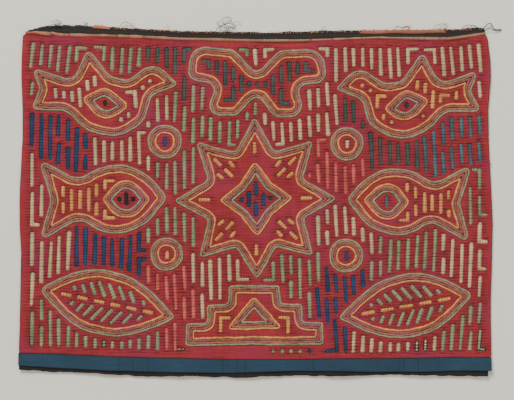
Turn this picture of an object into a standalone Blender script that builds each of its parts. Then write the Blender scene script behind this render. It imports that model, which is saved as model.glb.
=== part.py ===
"""Mola panel laid flat: a hand-sewn cotton panel of black backing, red ground and applique bands.

Units are metres and +Z is up. The panel lies face up on Z = 0, its top edge towards +Y.
The origin is under the centre of the panel's bounding box, on the surface that it lies on.
Tables and sizes are written in millimetres, and MM turns them to metres.
"""

import math
from collections import namedtuple

import bmesh
import bpy
import numpy as np

MM = 0.001

# Thickness and stacking of the cloths, in mm
PIECE_GAP = 0.3
BACKING_THICK = 1.0
GROUND_THICK = 1.1
HEM_THICK = 1.0
PIPING_HIGH = 1.9
SCRAP_THICK = 0.8
SCRAP_WIDE = 3.2
SCRAP_PROUD = 0.4
SCRAP_EASE = 0.2
BAND_THICK = 0.9

GROUND_BASE = BACKING_THICK + PIECE_GAP
BAND_BASE = GROUND_BASE + GROUND_THICK + PIECE_GAP

# Applique bands: width from the outer turned edge to the inner one, in mm
BAND_WIDTH = 9.4
WOBBLE = 0.4
WOBBLE_LONG = 95.0
WOBBLE_SHORT = 43.0
CHORD_ERROR = 0.15
PATH_STEP = 0.8

# Sampling of the cloths, in mm. All of them share the columns, so that they bend along the same lines
COLUMN_SPAN = 236.0
COLUMN_COUNT = 51
NEAR_EDGE = 6.0
FLAT_FROM = 14.0
SIDE_ROWS = (-105.0, -65.0, -25.0, 15.0, 55.0, 95.0, 130.0)

EdgePoint = namedtuple("EdgePoint", "along across")
Lift = namedtuple("Lift", "x y reach_x reach_y high")
Motif = namedtuple("Motif", "name outline x y turn size flip")
Corner = namedtuple("Corner", "x y radius")

# Side edges: along is Y and across is X, both in mm
LEFT_EDGE = [
    EdgePoint(-185, -245.6),
    EdgePoint(-124, -244.6),
    EdgePoint(-86, -243.4),
    EdgePoint(-41, -244.4),
    EdgePoint(2, -245.1),
    EdgePoint(52, -244.5),
    EdgePoint(105, -242.8),
    EdgePoint(146, -242.4),
    EdgePoint(174, -240.2),
]
RIGHT_EDGE = [
    EdgePoint(-185, 244.2),
    EdgePoint(-124, 244.2),
    EdgePoint(-86, 244.9),
    EdgePoint(-34, 247.2),
    EdgePoint(2, 245.9),
    EdgePoint(36, 244.1),
    EdgePoint(73, 242.7),
    EdgePoint(105, 241.5),
    EdgePoint(156, 243.2),
    EdgePoint(174, 239.8),
]

# Upper and lower edges: along is X and across is Y, both in mm
GROUND_TOP = [
    EdgePoint(-242, 172.4),
    EdgePoint(-214, 169.8),
    EdgePoint(-128, 166.8),
    EdgePoint(-24, 165.4),
    EdgePoint(102, 166.2),
    EdgePoint(206, 167.2),
    EdgePoint(242, 171.0),
]
PIPING_TOP = [
    EdgePoint(-242, 175.6),
    EdgePoint(-214, 173.9),
    EdgePoint(-128, 171.2),
    EdgePoint(-24, 169.4),
    EdgePoint(102, 170.1),
    EdgePoint(206, 171.6),
    EdgePoint(242, 175.0),
]
BACKING_TOP = [
    EdgePoint(-240, 175.4),
    EdgePoint(-224, 180.4),
    EdgePoint(-210, 182.3),
    EdgePoint(-174, 181.6),
    EdgePoint(-128, 178.8),
    EdgePoint(-58, 175.8),
    EdgePoint(4, 175.2),
    EdgePoint(102, 176.8),
    EdgePoint(198, 177.8),
    EdgePoint(240, 180.0),
]
HEM_TOP = [
    EdgePoint(-248, -157.6),
    EdgePoint(-162, -160.8),
    EdgePoint(-58, -164.2),
    EdgePoint(4, -165.4),
    EdgePoint(102, -165.2),
    EdgePoint(206, -163.4),
    EdgePoint(248, -162.6),
]
HEM_BOTTOM = [
    EdgePoint(-248, -170.8),
    EdgePoint(-162, -175.6),
    EdgePoint(-58, -178.6),
    EdgePoint(4, -179.2),
    EdgePoint(102, -179.0),
    EdgePoint(206, -177.8),
    EdgePoint(248, -177.4),
]
BACKING_BOTTOM = [
    EdgePoint(-246, -174.6),
    EdgePoint(-205, -177.6),
    EdgePoint(-162, -178.8),
    EdgePoint(-120, -181.2),
    EdgePoint(-58, -181.4),
    EdgePoint(-20, -182.7),
    EdgePoint(45, -181.4),
    EdgePoint(102, -182.3),
    EdgePoint(150, -181.2),
    EdgePoint(206, -182.0),
    EdgePoint(244, -182.3),
]
HEM_MIDDLE = [
    EdgePoint(low.along, (low.across + high.across) / 2) for low, high in zip(HEM_BOTTOM, HEM_TOP)
]
HEM_LEFT = -247.1
HEM_RIGHT = 245.4
PIPING_LEFT = -239.4
PIPING_RIGHT = 239.0
BACKING_SIDE_INSET = 1.6

# Scraps of the blouse's yoke left in the upper seam, from X to X in mm
SCRAPS = [
    ("yoke_scrap_left", -176.0, -150.0),
    ("yoke_scrap_right", 106.0, 200.0),
]

# Where the cloth stands up off the surface: centre, reach each way and height, in mm
LIFTS = [
    Lift(-240, -184, 36, 30, 3.0),
    Lift(-197, -184, 36, 27, 1.5),
    Lift(-158, -184, 36, 28, 2.6),
    Lift(-118, -184, 36, 26, 1.3),
    Lift(-76, -184, 38, 29, 2.8),
    Lift(-34, -184, 36, 26, 1.5),
    Lift(6, -184, 36, 28, 2.4),
    Lift(48, -184, 38, 26, 1.3),
    Lift(90, -184, 38, 29, 2.9),
    Lift(130, -184, 36, 26, 1.4),
    Lift(172, -184, 38, 29, 2.7),
    Lift(212, -184, 36, 27, 1.6),
    Lift(248, -184, 38, 30, 3.2),
    Lift(-246, 188, 46, 26, 2.2),
    Lift(-60, 190, 90, 26, 1.3),
    Lift(140, 190, 110, 26, 1.6),
]

# Motif outlines: corners with the radius of their rounding, in mm, facing +X, counter-clockwise
FISH = [
    Corner(70, 0, 8),
    Corner(26, 54, 50),
    Corner(-22, 20, 16),
    Corner(-66, 45, 5),
    Corner(-52, 0, 10),
    Corner(-66, -45, 5),
    Corner(-22, -20, 16),
    Corner(26, -54, 50),
]
FISH_WINDOW = [
    Corner(28, 0, 5),
    Corner(2, 31, 20),
    Corner(-24, 0, 5),
    Corner(2, -31, 20),
]
BIRD = [
    Corner(80, 22, 3),
    Corner(52, 47, 20),
    Corner(24, 24, 16),
    Corner(6, 27, 8),
    Corner(-20, 57, 5),
    Corner(-36, 20, 12),
    Corner(-82, 34, 5),
    Corner(-70, 10, 8),
    Corner(-80, -14, 5),
    Corner(-40, -12, 22),
    Corner(0, -52, 48),
    Corner(46, -20, 26),
    Corner(52, 8, 10),
]
BIRD_WINDOW = [
    Corner(28, -2, 6),
    Corner(0, 20, 14),
    Corner(-26, 4, 5),
    Corner(0, -24, 22),
]
LEAF = [
    Corner(74, 0, 3),
    Corner(0, 54, 84),
    Corner(-74, 0, 6),
    Corner(0, -54, 84),
]
BUTTERFLY = [
    Corner(0, -14, 7),
    Corner(20, -37, 11),
    Corner(55, -37, 13),
    Corner(43, -4, 8),
    Corner(75, 1, 12),
    Corner(70, 37, 19),
    Corner(25, 35, 13),
    Corner(0, 9, 7),
    Corner(-25, 35, 13),
    Corner(-70, 37, 19),
    Corner(-75, 1, 12),
    Corner(-43, -4, 8),
    Corner(-55, -37, 13),
    Corner(-20, -37, 11),
]
STEPS = [
    Corner(-72, -29, 3),
    Corner(72, -29, 3),
    Corner(72, -5, 3),
    Corner(50, -5, 3),
    Corner(50, 14, 3),
    Corner(27, 14, 3),
    Corner(27, 34, 3),
    Corner(-27, 34, 3),
    Corner(-27, 14, 3),
    Corner(-50, 14, 3),
    Corner(-50, -5, 3),
    Corner(-72, -5, 3),
]
STEPS_WINDOW = [
    Corner(-31, -9, 3),
    Corner(31, -9, 3),
    Corner(0, 27, 4),
]
RING = [
    Corner(18, 18, 17.8),
    Corner(-18, 18, 17.8),
    Corner(-18, -18, 17.8),
    Corner(18, -18, 17.8),
]


def star(points, tip, valley, tip_radius, valley_radius):
    """The corners of a star with its first tip on +X."""
    corners = []
    for k in range(2 * points):
        is_tip = k % 2 == 0
        reach = tip if is_tip else valley
        angle = math.pi * k / points
        rounding = tip_radius if is_tip else valley_radius
        corners.append(Corner(reach * math.cos(angle), reach * math.sin(angle), rounding))
    return corners


STAR = star(points=8, tip=86, valley=54, tip_radius=3, valley_radius=4)
STAR_WINDOW = star(points=4, tip=40, valley=24, tip_radius=3, valley_radius=4)

MOTIFS = [
    Motif("star_band", STAR, 0, 1, 0.8, 1.0, False),
    Motif("star_window_band", STAR_WINDOW, 0.5, 1, 2, 1.0, False),
    Motif("fish_left_band", FISH, -161, 1, 1, 1.0, False),
    Motif("fish_left_window_band", FISH_WINDOW, -137, 1, 0, 1.0, False),
    Motif("fish_right_band", FISH, 162, -2, -2, 0.97, True),
    Motif("fish_right_window_band", FISH_WINDOW, 138, -1.5, -3, 0.96, True),
    Motif("bird_left_band", BIRD, -158, 103, -3, 0.96, False),
    Motif("bird_left_window_band", BIRD_WINDOW, -157, 101, -3, 0.97, False),
    Motif("bird_right_band", BIRD, 159, 100, 4, 0.94, True),
    Motif("bird_right_window_band", BIRD_WINDOW, 157, 98.5, 5, 0.95, True),
    Motif("leaf_left_band", LEAF, -155, -107, -12, 1.0, False),
    Motif("leaf_right_band", LEAF, 157, -110, 10, 0.98, True),
    Motif("ring_upper_left_band", RING, -94, 61, 0, 1.0, False),
    Motif("ring_upper_right_band", RING, 95, 59, 0, 0.98, True),
    Motif("ring_lower_left_band", RING, -93, -56, 0, 0.97, False),
    Motif("ring_lower_right_band", RING, 94, -58, 0, 1.0, True),
    Motif("butterfly_band", BUTTERFLY, 1, 123, -1, 0.98, False),
    Motif("steps_band", STEPS, -1, -122, 0.5, 1.0, False),
    Motif("steps_window_band", STEPS_WINDOW, -1, -126, 0.5, 1.0, False),
]

# Colours as linear RGB, with a cotton finish
COTTON_ROUGHNESS = 0.9
BLACK = (0.028, 0.024, 0.022)
RED = (0.36, 0.035, 0.045)
BLUE = (0.022, 0.058, 0.095)
TAN = (0.42, 0.22, 0.13)
SALMON = (0.55, 0.2, 0.12)
MAUVE = (0.33, 0.12, 0.11)


def edge_at(table, along):
    """The table's across value at a place along it, on a smooth curve through its rows."""
    places = [row.along for row in table]
    values = [row.across for row in table]
    slopes = np.gradient(values, places)
    k = int(np.clip(np.searchsorted(places, along) - 1, 0, len(table) - 2))
    span = places[k + 1] - places[k]
    t = min(max((along - places[k]) / span, 0.0), 1.0)
    start = values[k] * (2 * t**3 - 3 * t**2 + 1) + values[k + 1] * (3 * t**2 - 2 * t**3)
    bend = slopes[k] * (t**3 - 2 * t**2 + t) + slopes[k + 1] * (t**3 - t**2)
    return start + bend * span


def lift_at(x, y):
    """How far the cloth stands up off the surface at a place, in mm."""
    total = 0.0
    for lift in LIFTS:
        u = abs(x - lift.x) / lift.reach_x
        v = abs(y - lift.y) / lift.reach_y
        if u < 1 and v < 1:
            total += lift.high * (math.cos(math.pi * u / 2) * math.cos(math.pi * v / 2)) ** 2
    return total


def columns():
    """The X of the lines along which all the cloths bend, in mm."""
    return np.linspace(-COLUMN_SPAN, COLUMN_SPAN, COLUMN_COUNT)


def curve_row(table, offset, side_inset):
    """A row of places along an edge table's curve, out to the side edges, as (x, y) in mm."""
    low = edge_at(table, table[0].along) + offset
    high = edge_at(table, table[-1].along) + offset
    left = edge_at(LEFT_EDGE, low) + side_inset
    right = edge_at(RIGHT_EDGE, high) - side_inset
    return [(x, edge_at(table, x) + offset) for x in (left, *columns(), right)]


def level_row(y, side_inset):
    """A row of places at one Y, out to the side edges, as (x, y) in mm."""
    left = edge_at(LEFT_EDGE, y) + side_inset
    right = edge_at(RIGHT_EDGE, y) - side_inset
    return [(x, y) for x in (left, *columns(), right)]


def finish_object(name, mesh, colour):
    """An object of that mesh in the scene, smooth where it is gently curved, with its own cotton."""
    thing = bpy.data.objects.new(name, mesh)
    bpy.context.scene.collection.objects.link(thing)
    mesh.shade_smooth()
    mesh.set_sharp_from_angle(angle=math.radians(40))
    cotton = bpy.data.materials.new(name + "_cotton")
    cotton.use_nodes = True
    shader = cotton.node_tree.nodes["Principled BSDF"]
    shader.inputs["Base Color"].default_value = (*colour, 1.0)
    shader.inputs["Roughness"].default_value = COTTON_ROUGHNESS
    shader.inputs["Metallic"].default_value = 0.0
    mesh.materials.append(cotton)
    return thing


def closed_mesh(name, grid):
    """A closed mesh from a bmesh whose faces cover one body."""
    bmesh.ops.recalc_face_normals(grid, faces=grid.faces)
    mesh = bpy.data.meshes.new(name)
    grid.to_mesh(mesh)
    grid.free()
    return mesh


def sheet_cloth(name, rows, middle, base, thick, colour):
    """A sheet through the rows of places. Between the two middle rows its centre is one flat face."""
    first, last = middle
    sheet = bmesh.new()
    edges = []
    for z in (base, base + thick):
        grid = {}
        for r, row in enumerate(rows):
            for c, (x, y) in enumerate(row):
                if first < r < last and 1 < c < len(row) - 2:
                    continue
                grid[r, c] = sheet.verts.new((x * MM, y * MM, (z + lift_at(x, y)) * MM))
        for r in range(len(rows) - 1):
            for c in range(len(rows[0]) - 1):
                cell = [(r, c), (r, c + 1), (r + 1, c + 1), (r + 1, c)]
                if not (first <= r < last and 0 < c < len(rows[0]) - 2):
                    sheet.faces.new([grid[place] for place in cell])
        inner = border(first, last, 1, len(rows[0]) - 2)
        sheet.faces.new([grid[place] for place in inner])
        outer = border(0, len(rows) - 1, 0, len(rows[0]) - 1)
        edges.append([grid[place] for place in outer])
    bridge(sheet, edges[0], edges[1])
    return finish_object(name, closed_mesh(name, sheet), colour)


def border(low, high, left, right):
    """The (row, column) places round a block of a grid, counter-clockwise."""
    places = [(low, c) for c in range(left, right)]
    places += [(r, right) for r in range(low, high)]
    places += [(high, c) for c in range(right, left, -1)]
    places += [(r, left) for r in range(high, low, -1)]
    return places


def bridge(sheet, first, second):
    """Four-sided faces between two closed rings of as many points."""
    count = len(first)
    for k in range(count):
        following = (k + 1) % count
        sheet.faces.new((first[k], first[following], second[following], second[k]))


def strip_cloth(name, places, section, colour):
    """A long strip: section(x) gives the closed ring of (y, z) in mm at each place along X."""
    strip = bmesh.new()
    rings = [[strip.verts.new((x * MM, y * MM, z * MM)) for y, z in section(x)] for x in places]
    for first, second in zip(rings, rings[1:]):
        bridge(strip, first, second)
    strip.faces.new(rings[0])
    strip.faces.new(rings[-1])
    return finish_object(name, closed_mesh(name, strip), colour)


def hem_section(x):
    """The blue strip's flat section, with a middle row of points so that it can follow the lifts."""
    low = edge_at(HEM_BOTTOM, x)
    middle = edge_at(HEM_MIDDLE, x)
    high = edge_at(HEM_TOP, x) - PIECE_GAP
    rows = (low, middle, high)
    under = [(y, GROUND_BASE + lift_at(x, y)) for y in rows]
    over = [(y, GROUND_BASE + HEM_THICK + lift_at(x, y)) for y in reversed(rows)]
    return under + over


def piping_section(x):
    """The rolled strip's section: flat below and rounded above."""
    low = edge_at(GROUND_TOP, x) + PIECE_GAP
    high = edge_at(PIPING_TOP, x)
    wide = high - low
    crown = ((1.0, 0.35), (0.78, 0.85), (0.5, 1.0), (0.22, 0.85), (0.0, 0.35))
    base = GROUND_BASE + lift_at(x, (low + high) / 2)
    under = [(low + 0.12 * wide, base), (high - 0.12 * wide, base)]
    return under + [(low + share * wide, base + rise * PIPING_HIGH) for share, rise in crown]


def scrap_section(x):
    """A flat scrap of the yoke on the upper seam allowance, a little proud of its edge."""
    high = edge_at(BACKING_TOP, x) + SCRAP_PROUD
    low = high - SCRAP_WIDE
    base = GROUND_BASE + SCRAP_EASE + lift_at(x, (low + high) / 2)
    return [
        (low, base),
        (high, base),
        (high, base + SCRAP_THICK),
        (low, base + SCRAP_THICK),
    ]


def rounded(corners):
    """A closed outline with each corner replaced by an arc of its radius."""
    points = []
    for k, corner in enumerate(corners):
        place = np.array(corner[:2], float)
        before = np.array(corners[k - 1][:2], float) - place
        after = np.array(corners[(k + 1) % len(corners)][:2], float) - place
        before /= np.linalg.norm(before)
        after /= np.linalg.norm(after)
        half = math.acos(float(np.clip(before @ after, -1, 1))) / 2
        reach = corner.radius / math.tan(half)
        halfway = (before + after) / np.linalg.norm(before + after)
        centre = place + halfway * corner.radius / math.sin(half)
        start = place + before * reach - centre
        end = place + after * reach - centre
        first = math.atan2(start[1], start[0])
        sweep = (math.atan2(end[1], end[0]) - first + math.pi) % (2 * math.pi) - math.pi
        steps = max(2, math.ceil(abs(sweep) * corner.radius / PATH_STEP))
        for s in range(steps + 1):
            angle = first + sweep * s / steps
            points.append(centre + corner.radius * np.array([math.cos(angle), math.sin(angle)]))
    return np.array(points)


def placed(motif):
    """The motif's outline at its place on the panel, counter-clockwise."""
    points = rounded(motif.outline) * motif.size
    if motif.flip:
        points = points[::-1] * [-1, 1]
    turn = math.radians(motif.turn)
    axes = np.array([[math.cos(turn), math.sin(turn)], [-math.sin(turn), math.cos(turn)]])
    return points @ axes + [motif.x, motif.y]


def dense(loop, step):
    """The closed loop with points about step apart."""
    points = []
    for start, end in zip(loop, np.roll(loop, -1, axis=0)):
        pieces = max(1, round(float(np.linalg.norm(end - start)) / step))
        points += [start + (end - start) * k / pieces for k in range(pieces)]
    return np.array(points)


def edge_normals(loop):
    """Unit normals of the edges that start at each point, to the inside of a counter-clockwise loop."""
    edges = np.roll(loop, -1, axis=0) - loop
    edges /= np.linalg.norm(edges, axis=1)[:, None]
    return np.stack([-edges[:, 1], edges[:, 0]], axis=1)


def hand_cut(loop, phase):
    """The loop with the slow waver of cloth cut and turned by hand."""
    points = dense(loop, PATH_STEP)
    normals = edge_normals(points)
    normals = normals + np.roll(normals, 1, axis=0)
    normals /= np.linalg.norm(normals, axis=1)[:, None]
    around = len(points) * PATH_STEP
    turn = np.arange(len(points)) / len(points) * 2 * math.pi
    waver = np.sin(round(around / WOBBLE_LONG) * turn + phase)
    waver += 0.6 * np.sin(round(around / WOBBLE_SHORT) * turn + 2.3 * phase)
    return points + normals * (WOBBLE * waver)[:, None]


def distance_to(points, loop):
    """The distance of each point from the closed loop."""
    start = loop
    along = np.roll(loop, -1, axis=0) - loop
    size = np.maximum((along * along).sum(axis=1), 1e-12)
    away = points[:, None, :] - start
    share = np.clip((away * along).sum(axis=2) / size, 0, 1)
    return np.sqrt(((away - share[..., None] * along) ** 2).sum(axis=2)).min(axis=1)


def moved_in(loop, depth):
    """The closed loop that lies at that depth inside a counter-clockwise loop."""
    normals = edge_normals(loop)
    points = []
    for k, place in enumerate(loop):
        before = normals[k - 1]
        after = normals[k]
        angle = math.atan2(before[0] * after[1] - before[1] * after[0], before @ after)
        fan = max(1, math.ceil(-angle * depth / PATH_STEP))
        shares = [0.5] if fan == 1 else [s / fan for s in range(fan + 1)]
        reach = depth / math.cos(angle / 2) if fan == 1 else depth
        for share in shares:
            cosine, sine = math.cos(angle * share), math.sin(angle * share)
            turned = (before[0] * cosine - before[1] * sine, before[0] * sine + before[1] * cosine)
            points.append(place + reach * np.array(turned))
    points = np.array(points)
    return points[distance_to(points, loop) > 0.999 * depth]


def simplified(loop, error):
    """The loop with only the points that its shape needs to within error."""
    far = int(np.argmax(np.linalg.norm(loop - loop[0], axis=1)))
    line = np.vstack([loop, loop[:1]])
    keep = {0, far, len(loop)}
    spans = [(0, far), (far, len(loop))]
    while spans:
        a, b = spans.pop()
        if b - a < 2:
            continue
        along = line[b] - line[a]
        away = line[a + 1 : b] - line[a]
        size = max(float(along @ along), 1e-12)
        share = np.clip(away @ along / size, 0, 1)
        gap = np.linalg.norm(away - share[:, None] * along, axis=1)
        k = int(gap.argmax())
        if gap[k] > error:
            keep.add(a + 1 + k)
            spans += [(a, a + 1 + k), (a + 1 + k, b)]
    return loop[sorted(k for k in keep if k < len(loop))]


def band_solid(name, outer, inner, colour):
    """A flat closed band between two loops, standing on the red cloth."""
    band = bmesh.new()
    edges = []
    for loop in (outer, inner):
        ring = [band.verts.new((x * MM, y * MM, BAND_BASE * MM)) for x, y in loop]
        for first, second in zip(ring, ring[1:] + ring[:1]):
            edges.append(band.edges.new((first, second)))
    bmesh.ops.triangle_fill(band, use_beauty=True, use_dissolve=False, edges=edges)
    top = bmesh.ops.extrude_face_region(band, geom=band.faces[:])["geom"]
    raised = [item for item in top if isinstance(item, bmesh.types.BMVert)]
    bmesh.ops.translate(band, verts=raised, vec=(0, 0, BAND_THICK * MM))
    return finish_object(name, closed_mesh(name, band), colour)


def build_cloths():
    """The backing, the red ground and the strips sewn to them."""
    inset = BACKING_SIDE_INSET
    rows = [
        curve_row(BACKING_BOTTOM, 0, inset),
        curve_row(HEM_BOTTOM, 0, inset),
        curve_row(HEM_MIDDLE, 0, inset),
        curve_row(HEM_TOP, 0, inset),
        curve_row(HEM_TOP, NEAR_EDGE, inset),
        curve_row(HEM_TOP, FLAT_FROM, inset),
        *[level_row(y, inset) for y in SIDE_ROWS],
        curve_row(GROUND_TOP, -NEAR_EDGE, inset),
        curve_row(GROUND_TOP, 0, inset),
        curve_row(BACKING_TOP, 0, inset),
    ]
    sheet_cloth("backing_cloth", rows, (5, len(rows) - 3), 0.0, BACKING_THICK, BLACK)
    rows = [
        curve_row(HEM_TOP, 0, 0),
        curve_row(HEM_TOP, NEAR_EDGE, 0),
        curve_row(HEM_TOP, FLAT_FROM, 0),
        *[level_row(y, 0) for y in SIDE_ROWS],
        curve_row(GROUND_TOP, -NEAR_EDGE, 0),
        curve_row(GROUND_TOP, 0, 0),
    ]
    sheet_cloth("ground_cloth", rows, (2, len(rows) - 2), GROUND_BASE, GROUND_THICK, RED)
    strip_cloth("hem_band", [HEM_LEFT, *columns(), HEM_RIGHT], hem_section, BLUE)
    strip_cloth("top_piping", [PIPING_LEFT, *columns(), PIPING_RIGHT], piping_section, TAN)
    for name, low, high in SCRAPS:
        places = [x for x in columns() if low < x < high]
        strip_cloth(name, places, scrap_section, SALMON)


def build_bands():
    """One band for each motif outline and for each window cut in a motif."""
    for index, motif in enumerate(MOTIFS):
        outer = hand_cut(placed(motif), phase=1.7 * index)
        inner = moved_in(outer, BAND_WIDTH)
        band_solid(motif.name, simplified(outer, CHORD_ERROR), simplified(inner, CHORD_ERROR), MAUVE)


def build():
    for thing in list(bpy.data.objects):
        bpy.data.objects.remove(thing)
    build_cloths()
    build_bands()


build()
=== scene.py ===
# %% [markdown]
# # A mola panel laid flat
# A mola is a blouse panel sewn by hand from layers of cotton. Each layer is cut, its edge is turned under
# and stitched down, and the colours below show in the cuts. Here a red top cloth lies on a black one.
# Motifs are outlined by four narrow turned strips, and rows of slits fill the red between them.

import math

import bmesh
import bpy
import numpy as np
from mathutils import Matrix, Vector
from mathutils.bvhtree import BVHTree
from mathutils.geometry import delaunay_2d_cdt
from mathutils.kdtree import KDTree


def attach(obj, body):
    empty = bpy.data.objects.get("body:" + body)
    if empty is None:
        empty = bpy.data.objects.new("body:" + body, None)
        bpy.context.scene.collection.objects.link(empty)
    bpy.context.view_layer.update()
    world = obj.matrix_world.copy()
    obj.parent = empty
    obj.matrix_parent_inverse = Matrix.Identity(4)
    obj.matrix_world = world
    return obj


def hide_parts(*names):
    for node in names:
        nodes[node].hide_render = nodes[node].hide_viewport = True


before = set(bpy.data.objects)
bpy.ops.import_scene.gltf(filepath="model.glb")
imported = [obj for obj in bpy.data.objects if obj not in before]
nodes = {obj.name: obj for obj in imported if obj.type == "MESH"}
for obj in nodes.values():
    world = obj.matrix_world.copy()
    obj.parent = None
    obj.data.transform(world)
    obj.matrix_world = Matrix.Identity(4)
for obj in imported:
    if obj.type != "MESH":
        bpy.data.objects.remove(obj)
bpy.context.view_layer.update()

# %% [markdown]
# ## Working sizes
# Sewing is thought of in millimetres, so every table here is in millimetres and each mesh is turned to
# metres as it is made. Two seeded sources of chance give the small unevenness of hand work: the second
# one serves the ends of slits, the mottling of their scraps and the presses in the hem.

# %% Units, chance and layers
MM = 0.001
chance = np.random.default_rng(58)
end_chance = np.random.default_rng(7)

# Heights above the table in mm: the upper sides of the cloths, and the foot of the outlines' strips
BACKING_TOP = 1.0
RED_TOP = 2.4
HEM_TOP = 2.3
BAND_FOOT = 2.35
# From one stitch to the next in mm, round a slit and along a strip
STITCH_PITCH = 3.0
BEAD_PITCH = 2.3

# %% [markdown]
# ## Colours
# Cotton colours are read and written as the usual hex values. The renderer works in linear light,
# so one function turns them.


# %% Hex to linear light
def dye(hex_colour):
    """The linear RGBA of an sRGB hex colour."""
    channels = [int(hex_colour[k : k + 2], 16) / 255 for k in (1, 3, 5)]
    linear = [c / 12.92 if c <= 0.04045 else ((c + 0.055) / 1.055) ** 2.4 for c in channels]
    return (*linear, 1.0)


# %% [markdown]
# ## Node helper
# A material is a small graph of nodes. One function adds a node with its settings and its links, so each
# material below reads as a list of what it is made of.


# %% One function that adds a node
def add(tree, kind, settings=None, links=None):
    """A new node. Settings are attributes, or input values by socket name; links feed its inputs."""
    node = tree.nodes.new(kind)
    for key, value in (settings or {}).items():
        if isinstance(key, int) or not hasattr(node, key):
            node.inputs[key].default_value = value
        else:
            setattr(node, key, value)
    for key, source in (links or {}).items():
        tree.links.new(source, node.inputs[key])
    return node


# %% [markdown]
# ## Cotton
# All the cloths are plain-woven cotton, dyed in the piece and faded with wear. Three things give that
# away: slubs, which are thicker stretches of yarn that run along the threads, slow fading in patches,
# and a matte surface with a little fuzz. Real threads are about 0.3 mm apart, too fine for this view,
# so the weave is drawn at 1.3 mm. One attribute carries painted shade: it darkens the stitched creases,
# folds, cut edges and hollows towards a third colour, as the shade that falls in them. Another, called
# "tone", makes one scrap lighter than the next.


# %% Plain-woven cotton
# The drawn weave's pitch in mm, and how far fading takes a cloth from its dark shade to its light one
THREAD_PITCH = 1.3
FADING = 0.5


def cotton(name, light, dark, crease, patch=None, slub=0.5, relief=0.3):
    """A dyed cotton between a lighter and a darker dye, its painted crease shade in a third, worn patches in
    a fourth.
    """
    material = bpy.data.materials.new(name)
    material.use_nodes = True
    tree = material.node_tree
    shader = tree.nodes["Principled BSDF"]
    place = add(tree, "ShaderNodeTexCoord").outputs["Object"]
    # Slubs: long along X and thin along Y, then the same the other way, weaker
    slubs = []
    for scale in ((45, 900, 1), (800, 60, 1)):
        drawn_out = add(tree, "ShaderNodeMapping", {"Scale": scale}, {"Vector": place}).outputs[0]
        noise = add(tree, "ShaderNodeTexNoise", {"Scale": 1.0, "Detail": 3.0}, {"Vector": drawn_out})
        slubs.append(noise.outputs["Fac"])
    weaker = {"data_type": "FLOAT", "Factor": 0.34}
    both = add(tree, "ShaderNodeMix", weaker, {"A": slubs[0], "B": slubs[1]})
    stretch = {"From Min": 0.32, "From Max": 0.68, "To Min": 0.5 - slub, "To Max": 0.5 + slub}
    slub_range = add(tree, "ShaderNodeMapRange", stretch, {"Value": both.outputs[0]}).outputs[0]
    # Fading: patches a few centimetres across
    patches = add(tree, "ShaderNodeTexNoise", {"Scale": 26.0, "Detail": 2.0}, {"Vector": place})
    stretch = {"From Min": 0.3, "From Max": 0.7, "To Min": -FADING / 2, "To Max": FADING / 2}
    shade = add(tree, "ShaderNodeMapRange", stretch, {"Value": patches.outputs["Fac"]}).outputs[0]
    shade = add(tree, "ShaderNodeMath", {"operation": "ADD"}, {0: slub_range, 1: shade}).outputs[0]
    tone = add(tree, "ShaderNodeAttribute", {"attribute_name": "tone"}).outputs["Fac"]
    shade = add(tree, "ShaderNodeMath", {"operation": "ADD", "use_clamp": True}, {0: shade, 1: tone})
    dyes = {"data_type": "RGBA", "A": dye(dark), "B": dye(light)}
    cloth = add(tree, "ShaderNodeMix", dyes, {"Factor": shade.outputs[0]}).outputs[2]
    if patch:
        blotches = add(tree, "ShaderNodeTexNoise", {"Scale": 21.0, "Detail": 4.0}, {"Vector": place})
        stretch = {"From Min": 0.47, "From Max": 0.66, "To Min": 0.0, "To Max": 0.75}
        blotch = add(tree, "ShaderNodeMapRange", stretch, {"Value": blotches.outputs["Fac"]}).outputs[0]
        worn = {"data_type": "RGBA", "B": dye(patch)}
        cloth = add(tree, "ShaderNodeMix", worn, {"Factor": blotch, "A": cloth}).outputs[2]
    # Painted shade: an attribute darkens creases, folds and cut edges towards the crease colour
    painted_shade = add(tree, "ShaderNodeAttribute", {"attribute_name": "painted_shade"}).outputs["Fac"]
    painted_crease_shade = {"data_type": "RGBA", "B": dye(crease)}
    colour = add(tree, "ShaderNodeMix", painted_crease_shade, {"Factor": painted_shade, "A": cloth})
    tree.links.new(colour.outputs[2], shader.inputs["Base Color"])
    # The weave: crossing ribs at the drawn thread pitch. A wave's bands are 1/20 of its scale apart
    scale = 1 / (THREAD_PITCH * MM) / 20
    height = slub_range
    for direction in ("X", "Y"):
        wave = {"bands_direction": direction, "Scale": scale, "Distortion": 3.0, "Detail": 2.0}
        ribs = add(tree, "ShaderNodeTexWave", wave, {"Vector": place}).outputs["Fac"]
        half = {"operation": "MULTIPLY_ADD", 1: 0.5}
        height = add(tree, "ShaderNodeMath", half, {0: ribs, 2: height}).outputs[0]
    depth = {"Strength": relief, "Distance": 0.25 * MM}
    bump = add(tree, "ShaderNodeBump", depth, {"Height": height})
    tree.links.new(bump.outputs[0], shader.inputs["Normal"])
    shader.inputs["Roughness"].default_value = 0.92
    shader.inputs["Specular IOR Level"].default_value = 0.25
    shader.inputs["Sheen Weight"].default_value = 0.1
    shader.inputs["Sheen Roughness"].default_value = 0.6
    return material
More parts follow.
